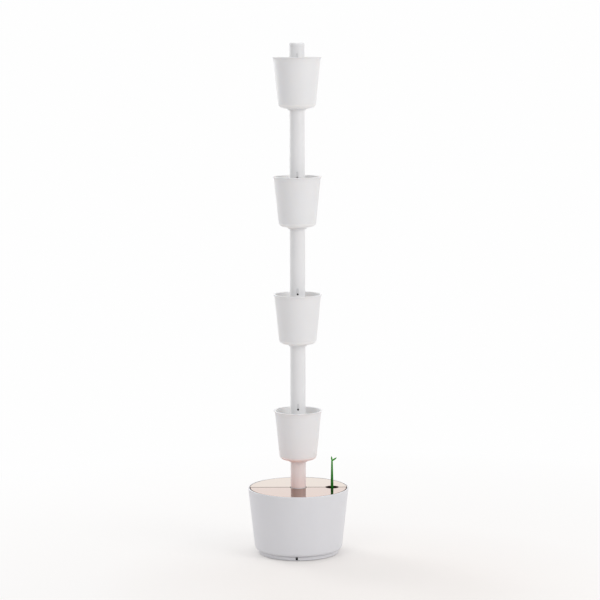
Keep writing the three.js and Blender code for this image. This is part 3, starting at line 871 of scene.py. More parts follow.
@dataclass
class Tank:
    """Water tank on its foot ring, with the closing plate, the feet and the power socket."""

    foot_r: float = 132.8
    foot_z: float = 12.6
    rim_r: float = 153.4
    wall: float = 4.0
    floor_z: float = 28.0
    tub_foot: Profile = ((0.0, 24.0), (118.5, 24.0, 0.8), (118.5, 12.6, 0.6), (132.8, 12.6, 12.0))
    tub_rim: Profile = ((153.4, 0.0, 2.4), (149.5, 0.0, 1.2))
    tub_ledge: Profile = ((149.5, 195.2, 0.5), (143.4, 195.2, 0.6), (143.4, 192.2, 2.0))
    bend_z: float = 185.2
    contact_y: float = -78.0
    contact_hole_r: float = 8.4
    hole_reach: Point = (22.0, 30.0)
    ring_foot: Profile = ((110.8, 0.0, 0.4), (121.8, 0.0, 0.8))
    ring_collar: Profile = ((122.8, 11.6, 0.5), (118.2, 11.6), (118.2, 19.6, 0.5), (115.3, 19.6, 0.5))
    ring_flange: Profile = ((115.3, 2.2), (110.8, 2.2, 0.4))
    window_reach: Point = (108.8, 124.8)
    window_corner: float = 0.9
    plate_foot: Profile = ((0.0, 0.0), (115.0, 0.0, 0.5))
    plate_top: Profile = ((115.0, 0.0, 0.5), (0.0, 0.0))
    notch_half: float = 8.0
    notch_reach: Point = (-118.5, -104.0)
    vent_box: Box = (26.0, 4.0, 1.9)
    vent_circle_r: float = 53.0
    vent_count: int = 4
    first_vent: float = 45.0
    screw_circle_r: float = 98.0
    screw_count: int = 4
    screw_profile: Profile = ((0.0, -0.9), (2.6, -0.9, 0.6), (3.4, 0.0), (0.0, 0.0))
    screw_bars: tuple[Box, Box] = ((3.2, 0.8, 0.3), (0.8, 3.2, 0.3))
    screw_bar_z: Point = (-2.0, -0.4)
    pad_count: int = 6
    pad_top: Profile = ((4.4, 0.0, 0.2), (0.0, 0.0))
    pad_foot: Profile = ((0.0, 0.2), (2.2, 0.2, 0.3), (2.8, 0.0, 0.3), (4.4, 0.0, 0.4))
    socket_width: float = 5.8
    socket_low_z: float = 2.9
    socket_high_z: float = 10.8
    socket_face_r: float = 121.4
    socket_rear_r: float = 105.2
    socket_turn_degrees: float = -2.5
    housing_corner: float = 0.6
    housing_ease: float = 0.3
    barrel_lap: float = 0.2
    base_width: float = 13.0
    base_depth: float = 6.8
    base_step: float = 1.7
    bore_r: float = 2.1
    bore_depth: float = 8.0
    mouth_profile: Profile = ((0.0, -0.4), (2.05, -0.4), (2.5, 0.2), (0.0, 0.2))
    pin_profile: Profile = ((0.0, -9.0), (0.7, -9.0), (0.7, -1.0, 0.3), (0.0, -1.0))

    def __post_init__(self) -> None:
        """Works out the socket's height and the turns to its place."""
        self.socket_height = self.socket_high_z - self.socket_low_z
        middle_z = (self.socket_low_z + self.socket_high_z) / 2
        self.socket_turn = turn(self.socket_turn_degrees, "Z")
        self.at_socket = [turn(90, "X"), Matrix.Translation((0, 0, middle_z * MM)), self.socket_turn]

    def wall_r(self, z: float) -> float:
        """Returns the wall's outer radius at a height."""
        slope = (self.rim_r - self.foot_r) / (heights("base_tub")[1] - self.foot_z)
        return self.foot_r + (z - self.foot_z) * slope

    def tub(self) -> None:
        """Tapered tub with a rounded lower edge and a stepped rim for the lid."""
        inner_r = [self.wall_r(z) - self.wall for z in (self.bend_z, self.floor_z)]
        bend = ((inner_r[0], self.bend_z, 6.0), (inner_r[1], self.floor_z, 5.0), (0, self.floor_z))
        rim = (self.tub_rim, heights("base_tub")[1])
        shell = Solid.turned((self.tub_foot, 0), rim, (self.tub_ledge, 0), (bend, 0), sides=TUB_SIDES)
        hole = Solid.rod(self.contact_hole_r, *self.hole_reach).shifted(0, self.contact_y, 0)
        dress(shell.cut(hole), "base_tub", SHELL)

    def foot_ring(self) -> None:
        """Plinth ring with the window of the power socket."""
        low = heights("foot_ring")[0]
        stages = ((self.ring_foot, low), (self.ring_collar, 0), (self.ring_flange, low))
        ring = Solid.turned(*stages, sides=TUB_SIDES, ring_step=4.0)
        width, height = self.socket_width + 2 * CLEARANCE, self.socket_height + 2 * CLEARANCE
        window = Solid.prism(rounded_box(width, height, self.window_corner), *self.window_reach)
        dress(ring.cut(window.moved(*self.at_socket)), "foot_ring", SHELL)

    def closing_plate(self) -> None:
        """Round plate under the dry bay with its vents and screws."""
        low, high = heights("base_plate")
        plate = Solid.turned((self.plate_foot, low), (self.plate_top, high), sides=ROUND_SIDES)
        under, over, half, (far, near) = low - PAST, high + PAST, self.notch_half, self.notch_reach
        notch = Solid.block((-half, far, under), (half, near, over))
        vent = Solid.prism(rounded_box(*self.vent_box), under, over).shifted(self.vent_circle_r, 0, 0)
        tools = [notch.moved(self.socket_turn), *vent.around(self.vent_count, self.first_vent)]
        dress(plate.cut(*tools), "base_plate", INNER)
        ends = [low + rise for rise in self.screw_bar_z]
        bars = [Solid.prism(rounded_box(*bar), *ends) for bar in self.screw_bars]
        head = Solid.turned((self.screw_profile, low), sides=ROUND_SIDES)
        screw = head.cut(*bars).shifted(self.screw_circle_r, 0, 0)
        for number, copy in enumerate(screw.around(self.screw_count), 1):
            dress(copy, "base_plate", PLATED, f"plate_screw_{number}")

    def feet(self) -> None:
        """Small round rubber feet under the ring."""
        for number in range(1, self.pad_count + 1):
            node = f"rubber_foot_{number}"
            low, high = reach(node)
            middle = (low + high) / 2
            pad = Solid.turned((self.pad_foot, low.z), (self.pad_top, high.z), sides=SMALL_SIDES)
            dress(pad.shifted(middle.x, middle.y, 0), node, RUBBER)

    def power_socket(self) -> None:
        """Low-voltage socket with its centre pin."""
        face, rear = self.socket_face_r, self.socket_rear_r
        outline = rounded_box(self.socket_width, self.socket_height, self.housing_corner)
        barrel = Solid.prism(outline, rear - self.barrel_lap, face).eased(self.housing_ease)
        outline = rounded_box(self.base_width, self.socket_height - self.base_step, self.housing_corner)
        base = Solid.prism(outline, rear, rear + self.base_depth).shifted(0, self.base_step / 2, 0)
        bore = Solid.rod(self.bore_r, face - self.bore_depth, face + PAST)
        housing = barrel.plus(base).cut(bore, Solid.turned((self.mouth_profile, face), sides=ROUND_SIDES))
        pin = Solid.turned((self.pin_profile, face), sides=SMALL_SIDES)
        dress(housing.moved(*self.at_socket), "power_inlet", SOCKET)
        dress(pin.moved(*self.at_socket), "power_inlet", PLATED, "power_socket_pin")

    def build(self) -> None:
        """Builds and dresses the sub-assembly."""
        self.tub()
        self.foot_ring()
        self.closing_plate()
        self.feet()
        self.power_socket()
        recoat("control_board", CIRCUIT)


@dataclass
class PumpUnit:
    """Submersible pump on its floor contact, with a strainer over the inlet."""

    y: float = -78.0
    can_r: float = 26.0
    can_foot: Profile = ((0.0, 0.0), (26.0, 0.0, 2.0))
    can_rim: Profile = ((26.0, 0.0, 0.6), (20.5, 0.0, 0.3))
    chamber_z: float = 54.0
    chamber_floor: Profile = ((20.5, 0.0, 0.8), (1.6, 0.0))
    shaft_end: Profile = ((1.6, -3.0, 0.4), (0.0, -3.0))
    spout_z: float = 60.0
    spout_root: Profile = ((0.0, 21.0), (6.0, 21.0))
    spout_end: Profile = ((6.0, 0.0, 0.5), (0.0, 0.0))
    bore_r: float = 4.0
    bore_root: float = 15.0
    rib_count: int = 20
    groove_box: Box = (1.4, 2.6, 0.6)
    groove_margin: float = 4.0
    cover_plate: Profile = ((7.0, 0.0), (26.0, 0.0, 0.4), (26.0, 2.7, 0.6), (9.0, 2.7, 0.8))
    cover_neck: Profile = ((9.0, 0.0, 0.4), (7.0, 0.0, 0.4))
    cup_roof: Profile = ((0.0, -2.0), (22.0, -2.0, 1.5))
    cup_foot: Profile = ((22.0, 0.0), (24.0, 0.0, 0.4))
    cup_top: Profile = ((24.0, 0.0, 3.0), (0.0, 0.0))
    slot_count: int = 12
    slot_box: Box = (8.0, 1.6, 0.7)
    slot_circle_r: float = 23.0
    slot_foot: float = 2.5
    slot_head: float = 5.0
    plug_foot: Profile = ((0.0, 0.0), (8.0, 0.0, 0.5))
    plug_collar: Profile = ((8.0, 0.0), (15.0, 0.0))
    plug_top: Profile = ((15.0, 0.0, 0.6), (0.0, 0.0))

    def place(self, solid: Solid, node: str) -> None:
        """Dresses a piece that was built round the origin, where the pump stands."""
        dress(solid.shifted(0, self.y, 0), node, PUMP)

    def can(self) -> None:
        """Motor can with cooling ribs, the impeller chamber and the spout."""
        low, high = heights("pump_body")
        chamber = [(self.chamber_floor, self.chamber_z), (self.shaft_end, high)]
        body = Solid.turned((self.can_foot, low), (self.can_rim, high), *chamber)
        ends = (low + self.groove_margin, self.chamber_z - self.groove_margin)
        groove = Solid.prism(rounded_box(*self.groove_box), *ends).shifted(self.can_r, 0, 0)
        end = reach("pump_body")[1].y - self.y
        spout = Solid.turned((self.spout_root, 0), (self.spout_end, end), sides=SMALL_SIDES)
        bore = Solid.rod(self.bore_r, self.bore_root, end + PAST)
        backwards = [turn(-90, "X"), Matrix.Translation((0, 0, self.spout_z * MM))]
        tools = [*groove.around(self.rib_count, 180 / self.rib_count), bore.moved(*backwards)]
        self.place(body.plus(spout.moved(*backwards)).cut(*tools), "pump_body")

    def cover(self) -> None:
        """Chamber cover with the inlet neck."""
        low, high = heights("pump_cover")
        self.place(Solid.turned((self.cover_plate, low), (self.cover_neck, high)), "pump_cover")

    def strainer(self) -> None:
        """Domed strainer cup with upright slots."""
        low, high = heights("pump_strainer")
        cup = Solid.turned((self.cup_roof, high), (self.cup_foot, low), (self.cup_top, high))
        slot = Solid.prism(rounded_box(*self.slot_box), low + self.slot_foot, high - self.slot_head)
        slots = slot.shifted(self.slot_circle_r, 0, 0).around(self.slot_count)
        self.place(cup.cut(*slots), "pump_strainer")

    def contact(self) -> None:
        """Sealed contact through the tank floor."""
        low, high = heights("pump_contact")
        collar = (self.plug_collar, Tank.floor_z + CLEARANCE)
        plug = Solid.turned((self.plug_foot, low), collar, (self.plug_top, high), sides=SMALL_SIDES)
        self.place(plug, "pump_contact")

    def build(self) -> None:
        """Builds and dresses the sub-assembly."""
        self.can()
        self.cover()
        self.strainer()
        self.contact()
        recoat("pump_impeller", INNER)


@dataclass
class LevelIndicator:
    """Float in its guide, with the green sprout that shows the water level."""

    x: float = 103.0
    guide_foot: Profile = ((12.0, 0.0), (21.0, 0.0, 0.5), (21.0, 2.5, 0.5), (19.4, 2.5))
    guide_top: Profile = ((19.4, 0.0, 0.7), (17.4, 0.0, 0.7))
    guide_floor: Profile = ((17.4, 1.8), (12.0, 1.8, 0.3))
    slot_count: int = 4
    first_slot: float = 45.0
    slot_width: float = 5.0
    slot_corner: float = 2.4
    slot_foot: float = 10.0
    slot_head: float = 14.0
    slot_reach: Point = (15.0, 22.0)
    float_foot: Profile = ((0.0, 0.0), (15.4, 0.0, 4.0))
    float_waist: Profile = ((15.4, -0.5, 0.3), (14.9, 0.0, 0.2), (15.4, 0.5, 0.3))
    float_top: Profile = ((15.4, 0.0, 4.0), (3.3, 0.0, 0.6), (3.3, -18.0), (0.0, -18.0))
    peg_foot: Profile = ((0.0, 0.0), (3.0, 0.0, 0.5))
    stem_foot: Profile = ((3.0, 0.0, 0.3), (4.9, 0.0, 0.6))
    stem_top: Profile = ((4.3, 211.2), (2.5, 283.0), (0.6, 290.0, 0.5), (0.0, 290.0))
    leaf_foot_z: float = 283.0
    leaf_rings: int = 26
    leaf_sides: int = 28
    leaf_thick: float = 2.4
    leaf_edge: float = 0.25
    leaf_bias: float = 0.85
    leaf_fullness: float = 0.65
    leaf_root: float = 0.55
    leaf_thinning: float = 0.55
    outer_length: float = 17.5
    tip_gap: float = 0.2
    skin_voxel: float = 0.45
    skin_rounds: int = 4

    def guide(self) -> None:
        """Slotted tube under the filling hole."""
        low, high = heights("float_guide")
        stages = ((self.guide_foot, low), (self.guide_top, high), (self.guide_floor, low))
        tube = Solid.turned(*stages, ring_step=12.0)
        foot_z, head_z = low + self.slot_foot, high - self.slot_head
        outline = rounded_box(head_z - foot_z, self.slot_width, self.slot_corner)
        slot = Solid.prism(outline, *self.slot_reach).moved(turn(90, "Y"))
        slots = slot.shifted(0, 0, (foot_z + head_z) / 2).around(self.slot_count, self.first_slot)
        dress(tube.cut(*slots).shifted(self.x, 0, 0), "float_guide", INNER)

    def float(self) -> None:
        """Float with rounded ends and a socket for the stem."""
        low, high = heights("level_float")
        waist = (self.float_waist, (low + high) / 2)
        body = Solid.turned((self.float_foot, low), waist, (self.float_top, high))
        dress(body.shifted(self.x, 0, 0), "level_float", INNER)

    def leaf(self, foot: Vector, length: float, half_width: float, lean: float, curl: float) -> Solid:
        """One leaf: a pointed blade with a thicker midrib.

        Args:
            foot: Where its midrib starts.
            length: Its length.
            half_width: Half its greatest width.
            lean: Its lean from upright towards +X, in degrees.
            curl: How far its tip bends towards its outer side.

        Returns:
            The leaf.
        """
        tilt = turn(lean, "Y").to_3x3()
        onward, across, thick = tilt @ Vector((0, 0, 1)), tilt @ Vector((1, 0, 0)), Vector((0, 1, 0))
        rings: list[Ring] = [[foot.copy()]]
        for share in spread(0.0, 1.0, self.leaf_rings)[1:-1]:
            swell = math.sin(math.pi * share**self.leaf_bias) ** self.leaf_fullness
            middle = foot + onward * length * share + across * curl * share**2
            wide = across * max(half_width * swell, self.leaf_edge)
            fill = (1 - self.leaf_thinning * share) * min(1.0, self.leaf_root + swell)
            deep = thick * self.leaf_thick / 2 * fill
            angles = full_turn(self.leaf_sides)
            rings.append([middle + wide * math.cos(a) + deep * math.sin(a) for a in angles])
        rings.append([foot + onward * length + across * curl])
        return Solid.loft(rings, closed=False)

    def sprout(self) -> None:
        """Tapered stem with two leaves, melted into one blade."""
        low, high = heights("level_sprout")
        shoulder = heights("level_float")[1] + CLEARANCE
        stages = ((self.peg_foot, low), (self.stem_foot, shoulder), (self.stem_top, 0))
        stem = Solid.turned(*stages, sides=SMALL_SIDES, ring_step=3.0)
        z = self.leaf_foot_z
        length = high - z - self.tip_gap
        upper = self.leaf(Vector((-0.3, 0, z)), length, half_width=2.5, lean=-4, curl=-0.5)
        outer = self.leaf(Vector((0.4, 0, z)), self.outer_length, half_width=2.8, lean=53, curl=0.6)
        sprout = stem.plus(upper, outer).melted(self.skin_voxel, self.skin_rounds)
        dress(sprout.shifted(self.x, 0, 0), "level_sprout", SPROUT)

    def build(self) -> None:
        """Builds and dresses the sub-assembly."""
        self.guide()
        self.float()
        self.sprout()


class LidSide(Enum):
    """The lid's halves and the side of the seam that each is on."""

    FRONT = -1
    BACK = 1


@dataclass
class MirrorLid:
    """Lid in two halves, each a mirror sheet on a dark board."""

    radius: float = 148.3
    seam: float = 2.4
    post_hole_r: float = 24.8
    fill_hole_x: float = 103.0
    fill_hole_r: float = 20.0
    edge_ease: float = 0.8
    front_inset: float = 1.4
    seam_inset: float = 0.6
    film: float = 0.01

    def outline(self, side: LidSide, is_mirror: bool) -> list[Point]:
        """Half disc with notches for the post and the filling hole.

        Args:
            side: Which half.
            is_mirror: Whether it is the mirror sheet, which leaves a dark edge of the board bare.

        Returns:
            The half's outline.
        """
        half_seam = self.seam / 2 + (self.seam_inset if is_mirror else 0)
        edge_r = self.radius - (self.front_inset if is_mirror and side is LidSide.FRONT else 0)
        points: list[Point] = []
        for x, radius in ((0.0, self.post_hole_r), (self.fill_hole_x, self.fill_hole_r)):
            skew = math.asin(half_seam / radius)
            points += arc((x, 0.0), radius, math.pi - skew, skew)
        skew = math.asin(half_seam / edge_r)
        points += arc((0.0, 0.0), edge_r, skew, math.pi - skew, ROUND_SIDES)
        return [(x, y * side.value) for x, y in points]

    def build(self) -> None:
        """Builds and dresses the sub-assembly."""
        for side in LidSide:
            # The back half takes the paler copper of painted reflection.
            mirror = COPPER_FRONT if side is LidSide.FRONT else COPPER_BACK_PAINTED_REFLECTION
            for layer, finish in (("board", BOARD), ("mirror", mirror)):
                node = f"lid_{side.name.lower()}_{layer}"
                low, high = heights(node)
                outline = self.outline(side, layer == "mirror")
                sheet = Solid.prism(outline, low, high).eased(self.edge_ease)
                film_z = high - self.film
                # The sheets' edges and undersides are lined dark brown as painted shade in the gaps.
                line(dress(sheet, node, finish), LID_EDGE_PAINTED_SHADE, lambda middle: middle.z < film_z)


@dataclass
class Post:
    """Sectioned post with its socket, cap, outlet nozzles and riser hoses."""

    radius: float = 23.1
    pot_count: int = 4
    socket_foot: Profile = ((19.0, 0.0), (46.0, 0.0, 0.6), (46.0, 4.2, 0.8), (27.2, 5.7, 2.0))
    socket_top: Profile = ((27.2, -14.0, 3.0), (38.0, -4.0, 1.0), (38.0, 0.0, 0.6), (23.4, 0.0, 0.5))
    socket_stop: Profile = ((23.4, 80.3), (19.0, 80.3, 0.4))
    gusset_count: int = 4
    first_gusset: float = 45.0
    gusset_foot: float = 3.7
    gusset_half: float = 1.5
    gusset_outline: Profile = ((25.7, 0.0), (43.0, 0.0), (43.0, 3.0), (25.7, 62.0))
    gusset_ease: float = 0.4
    drain_low: Triple = (15.0, -4.0, 7.7)
    drain_high: Triple = (31.0, 4.0, 19.7)
    tube_foot: Profile = ((21.1, 0.0, 0.3), (23.1, 0.0, 0.4))
    tube_top: Profile = ((23.1, 0.0, 0.4), (21.1, 0.0, 0.3))
    ring_foot: Profile = ((23.7, 0.0, 0.2), (25.2, 0.0, 0.5))
    ring_top: Profile = ((25.2, 0.0, 0.3), (23.7, 0.0, 0.2))
    cap_plug: Profile = ((18.8, 0.0, 0.3), (20.8, 0.0, 0.5))
    cap_head: Profile = ((20.8, -12.0), (23.1, -12.0, 0.4), (23.1, 0.0, 4.0), (0.0, 0.0))
    cap_roof: Profile = ((0.0, -3.0), (18.8, -3.0, 1.0))
    cap_end: Profile = ((18.8, 1.0),)
    tee_reach: float = 13.0
    tee_stop: float = 5.0
    tee_foot: Profile = ((0.0, -13.0), (7.0, -13.0, 0.6))
    tee_top: Profile = ((7.0, 0.0, 0.6), (0.0, 0.0))
    tee_roof: float = 2.1
    branch_r: float = 4.4
    branch_recess: float = 2.0
    slot_width: float = 6.4
    slot_rise: float = 15.0
    slot_reach: Point = (15.0, 30.0)
    plate_width: float = 5.8
    plate_thick: float = 2.6
    plate_ease: float = 0.3
    nozzle_bore_r: float = 2.6
    nozzle_recess: float = 0.7
    mouth_profile: Profile = ((0.0, -0.3), (2.6, -0.3), (2.8, 0.1), (0.0, 0.1))
    white_bore_outlets: int = 2
    bore_seen_r: float = 2.85
    passage_seen_r: float = 3.6
    face_margin: float = 0.02
    hose_r: float = 5.0
    hose_bore_r: float = 3.5
    hose_bend: float = 22.0
    bend_steps: int = 16
    hose_hole_r: float = 5.8
    hose_hole_reach: Point = (8.0, 32.0)
    pump_outlet_z: float = 60.0

    @staticmethod
    def rim_z(pot: int) -> float:
        """Returns the height of a pot's rim."""
        return heights(f"pot_{pot}")[1]

    def outlet_z(self, pot: int) -> float:
        """Returns the height of the outlet that waters a pot."""
        return heights(f"outlet_tee_{pot}")[0] + self.tee_reach

    def stadium(self, width: float, near: float, far: float) -> Solid:
        """Round-ended slot shape that faces the front.

        Args:
            width: Its width.
            near: Distance of its inner end from the post's axis.
            far: Distance of its outer end.

        Returns:
            The shape, its lower round end about the origin's height.
        """
        low_end = arc((0, 0), width / 2, math.pi, 2 * math.pi)
        high_end = arc((0, self.slot_rise), width / 2, 0, math.pi)
        return Solid.prism([*low_end, *high_end], near, far).facing_front()

    def socket(self) -> None:
        """Socket with its floor flange, gussets, sleeve and top flange."""
        low, high = heights("column_socket")
        stages = ((self.socket_foot, low), (self.socket_top, high), (self.socket_stop, 0))
        sleeve = Solid.turned(*stages, ring_step=8.0)
        gusset = Solid.prism(self.gusset_outline, -self.gusset_half, self.gusset_half).facing_front()
        gusset = gusset.shifted(0, 0, low + self.gusset_foot).eased(self.gusset_ease)
        drain = Solid.block(self.drain_low, self.drain_high).shifted(0, 0, low)
        hole = Solid.rod(self.hose_hole_r, *self.hose_hole_reach).facing_front()
        tools = [*drain.around(2), hole.shifted(0, 0, self.pump_outlet_z)]
        gussets = gusset.around(self.gusset_count, self.first_gusset)
        dress(sleeve.plus(*gussets).cut(*tools), "column_socket", INNER)

    def section(self, number: int) -> None:
        """One tube of the post, with its outlet slot and its drain holes.

        Args:
            number: 1 stands in the tank and the last one carries the cap.
        """
        node = f"post_tube_{number}"
        low, high = heights(node)
        tube = Solid.turned((self.tube_foot, low), (self.tube_top, high), ring_step=7.0)
        tools = []
        if number > 1:
            z = self.outlet_z(self.pot_count + 2 - number)
            tools.append(self.stadium(self.slot_width, *self.slot_reach).shifted(0, 0, z))
        if number <= self.pot_count:
            tools.append(Pot.drain_gap(self.rim_z(self.pot_count + 1 - number)))
        dress(tube.cut(*tools), node, POST_SHELL)

    def nozzle(self, pot: int) -> None:
        """Outlet tee with the plate that fills the slot and its countersunk bore.

        Args:
            pot: The pot that it waters.
        """
        face, low, stop = self.radius - self.nozzle_recess, -self.tee_reach, self.tee_stop
        through = pot > 1
        top = self.tee_reach if through else stop
        body = Solid.turned((self.tee_foot, 0), (self.tee_top, top), sides=SMALL_SIDES)
        branch = Solid.rod(self.branch_r, 0, face - self.branch_recess).facing_front()
        plate = self.stadium(self.plate_width, face - self.plate_thick, face).eased(self.plate_ease)
        mouth = Solid.turned((self.mouth_profile, face), sides=SMALL_SIDES)
        seat_r = self.hose_r + CLEARANCE
        tools = [
            Solid.rod(seat_r, low - PAST, -stop),
            Solid.rod(self.hose_bore_r, low - PAST, top + PAST if through else self.tee_roof),
            Solid.rod(self.nozzle_bore_r, 0, face + PAST).facing_front(),
            mouth.facing_front(),
        ]
        if through:
            tools.append(Solid.rod(seat_r, stop, top + PAST))
        tee = body.plus(branch, plate).cut(*tools)
        z = self.outlet_z(pot)

        def is_bore(middle: Vector) -> bool:
            """Tells whether a face is inside the bore or the riser's passage behind it."""
            in_bore = math.hypot(middle.x, middle.z - z) < self.bore_seen_r
            in_passage = math.hypot(middle.x, middle.y) < self.passage_seen_r
            return (in_bore and -middle.y < face - self.face_margin) or in_passage

        piece = dress(tee.shifted(0, 0, z), f"outlet_tee_{pot}", NOZZLE)
        # Painted shade: the lower outlets' bores and the passages behind them are lined near black; the
        # upper outlets keep the nozzle's white.
        if pot > self.white_bore_outlets:
            line(piece, BORE_PAINTED_SHADE, is_bore)

    def support_ring(self, pot: int) -> None:
        """Plain ring that carries a pot."""
        node = f"support_ring_{pot}"
        low, high = heights(node)
        dress(Solid.turned((self.ring_foot, low), (self.ring_top, high)), node, POST_SHELL)

    def hoses(self) -> None:
        """Riser hoses through the post; the last pot's one bends to the pump."""
        bend, z = self.hose_bend, self.pump_outlet_z
        for pot in range(1, self.pot_count + 1):
            node = f"riser_hose_{pot}"
            low, high = reach(node)
            path = [(0.0, low.z), (0.0, high.z)]
            if pot == self.pot_count:
                elbow = arc((-bend, z + bend), bend, -math.pi / 2, 0.0, self.bend_steps)
                path = [(low.y, z), ((low.y - bend) / 2, z), *elbow, path[-1]]
            points = [Vector((0, y, height)) for y, height in path]
            dress(Solid.hose(points, self.hose_r, self.hose_bore_r), node, HOSE)

    def cap(self) -> None:
        """Cap with a softly rounded top edge, plugged into the post."""
        low, high = heights("top_cap")
        head = [(self.cap_head, high), (self.cap_roof, high)]
        cap = Solid.turned((self.cap_plug, low), *head, (self.cap_end, low), sides=ROUND_SIDES)
        dress(cap, "top_cap", POST_SHELL)

    def build(self) -> None:
        """Builds and dresses the sub-assembly."""
        self.socket()
        for number in range(1, self.pot_count + 2):
            self.section(number)
        for pot in range(1, self.pot_count + 1):
            self.nozzle(pot)
            self.support_ring(pot)
            recoat(f"post_coupler_{pot}", INNER)
        self.hoses()
        self.cap()


@dataclass
class Pot:
    """One pot with its hub and its drain grid. Depths are measured down from the rim."""

    number: int
    depth: float = 154.0
    wall: float = 2.5
    wall_top_r: float = 70.0
    wall_top_depth: float = 8.0
    wall_foot_r: float = 57.2
    wall_foot_depth: float = 144.5
    neck_foot: Profile = ((26.9, 0.0, 0.3), (28.9, 0.0, 0.8))
    shoulder: Profile = ((56.0, -3.0, 14.0),)
    flare: float = 14.0
    flare_top: float = 6.0
    flare_out: float = 1.4
    lip: Profile = ((72.6, -2.4, 1.4), (74.2, -1.4, 0.5), (74.2, 0.0, 0.6))
    ledge: float = 3.0
    floor: Profile = ((51.6, -0.4, 8.0),)
    neck_top: Profile = ((26.9, 2.6, 0.3),)
    lining_depth: float = 0.2
    hub_top_depth: float = 12.0
    hub_top: Profile = ((23.9, 0.0, 0.5), (26.4, 0.0, 0.7))
    hub_flange: Profile = ((26.4, -0.3), (28.2, -0.3, 0.4), (27.4, -4.0, 0.5))
    hub_pocket: Profile = ((25.8, -4.0, 0.2), (25.8, -1.5), (23.9, -1.5))
    grid_depth: float = 125.0
    grid_thick: float = 3.0
    grid_inner_r: float = 27.3
    grid_gap: float = 0.9
    slot_count: int = 16
    slot_width: float = 3.4
    slot_corner: float = 1.6
    slot_margin: float = 4.5
    drain_rise: float = 8.0
    drain_low: Triple = (-4.0, -30.0, 0.0)
    drain_high: Triple = (4.0, 30.0, 7.0)

    def wall_r(self, depth: float) -> float:
        """Returns the wall's outer radius at a depth."""
        taper = (self.wall_top_r - self.wall_foot_r) / (self.wall_foot_depth - self.wall_top_depth)
        return self.wall_top_r - taper * (depth - self.wall_top_depth)

    def shell(self) -> Solid:
        """Returns the tapered shell with its lip, shoulder and ledge."""
        ledge = self.grid_depth + self.grid_thick + CLEARANCE
        ledge_r = self.wall_r(ledge) - self.wall
        flare_r = self.wall_r(self.flare)
        flare_end = (flare_r + self.flare_out, -self.flare_top, 9.0)
        flare = ((flare_r, -self.flare, 40.0), flare_end)
        inner = ((self.wall_r(0) - self.wall, 0, 0.8), (ledge_r, -ledge, 0.4))
        step = ((ledge_r - self.ledge, -ledge, 0.8),)
        foot, shoulder = -self.depth, -self.wall_foot_depth
        outside = ((self.neck_foot, foot), (self.shoulder, shoulder), (flare, 0), (self.lip, 0))
        inside = ((inner, 0), (step, 0), (self.floor, shoulder), (self.neck_top, foot))
        return Solid.turned(*outside, *inside, sides=ROUND_SIDES)

    @classmethod
    def drain_gap(cls, rim: float) -> Solid:
        """Returns the cutter of the drain holes through the post and the hub below a rim."""
        gap = Solid.block(cls.drain_low, cls.drain_high)
        return gap.shifted(0, 0, rim - cls.depth + cls.drain_rise)

    def hub(self) -> Solid:
        """Returns the sleeve round the post, with its flange and drain holes."""
        foot = -self.depth
        stages = ((self.hub_top, -self.hub_top_depth), (self.hub_flange, foot), (self.hub_pocket, foot))
        return Solid.turned(*stages, ring_step=8.0).cut(self.drain_gap(0.0))

    def grid(self) -> Solid:
        """Returns the perforated disc that holds the soil."""
        low, high, inner_r = -self.grid_depth - self.grid_thick, -self.grid_depth, self.grid_inner_r
        outer_r = self.wall_r(-low) - self.wall - self.grid_gap
        foot, top = ((inner_r, 0, 0.4), (outer_r, 0, 0.4)), ((outer_r, 0, 0.6), (inner_r, 0, 0.6))
        outline = rounded_box(outer_r - inner_r - 2 * self.slot_margin, self.slot_width, self.slot_corner)
        slot = Solid.prism(outline, low - PAST, high + PAST).shifted((inner_r + outer_r) / 2, 0, 0)
        slots = slot.around(self.slot_count, 180 / self.slot_count)
        return Solid.turned((foot, low), (top, high), sides=ROUND_SIDES).cut(*slots)

    def build(self) -> None:
        """Builds and dresses the sub-assembly."""
        rim = Post.rim_z(self.number)

        def is_inside(middle: Vector) -> bool:
            """Tells whether a face of the shell is on its inner side."""
            depth, r = rim - middle.z, math.hypot(middle.x, middle.y)
            return depth > self.lining_depth and r < self.wall_r(depth) - self.wall / 2

        for name, solid, finish in (
            ("pot", self.shell(), POT_SHELL),
            ("pot_hub", self.hub(), POT_SHELL),
            ("drain_grid", self.grid(), INNER),
        ):
            piece = dress(solid.shifted(0, 0, rim), f"{name}_{self.number}", finish)
            # The shell's inner side gets the paler white of painted light.
            if name == "pot":
                line(piece, POT_INSIDE_PAINTED_LIGHT, is_inside)


# Studio


@dataclass(frozen=True)
class Softbox:
    """A square soft lamp that faces a point, in metres and watts."""

    name: str
    place: Triple
    aim: Triple
    size: float
    power: float
    colour: Colour = (1.0, 1.0, 1.0)

    def build(self) -> None:
        """Hangs the lamp."""
        data = bpy.data.lights.new(self.name, "AREA")
        data.shape = "SQUARE"
        data.size = self.size
        data.energy = self.power
        data.color = self.colour
        lamp = linked(self.name, data)
        lamp.location = self.place
        facing = Vector(self.aim) - Vector(self.place)
        lamp.rotation_euler = facing.to_track_quat("-Z", "Y").to_euler()


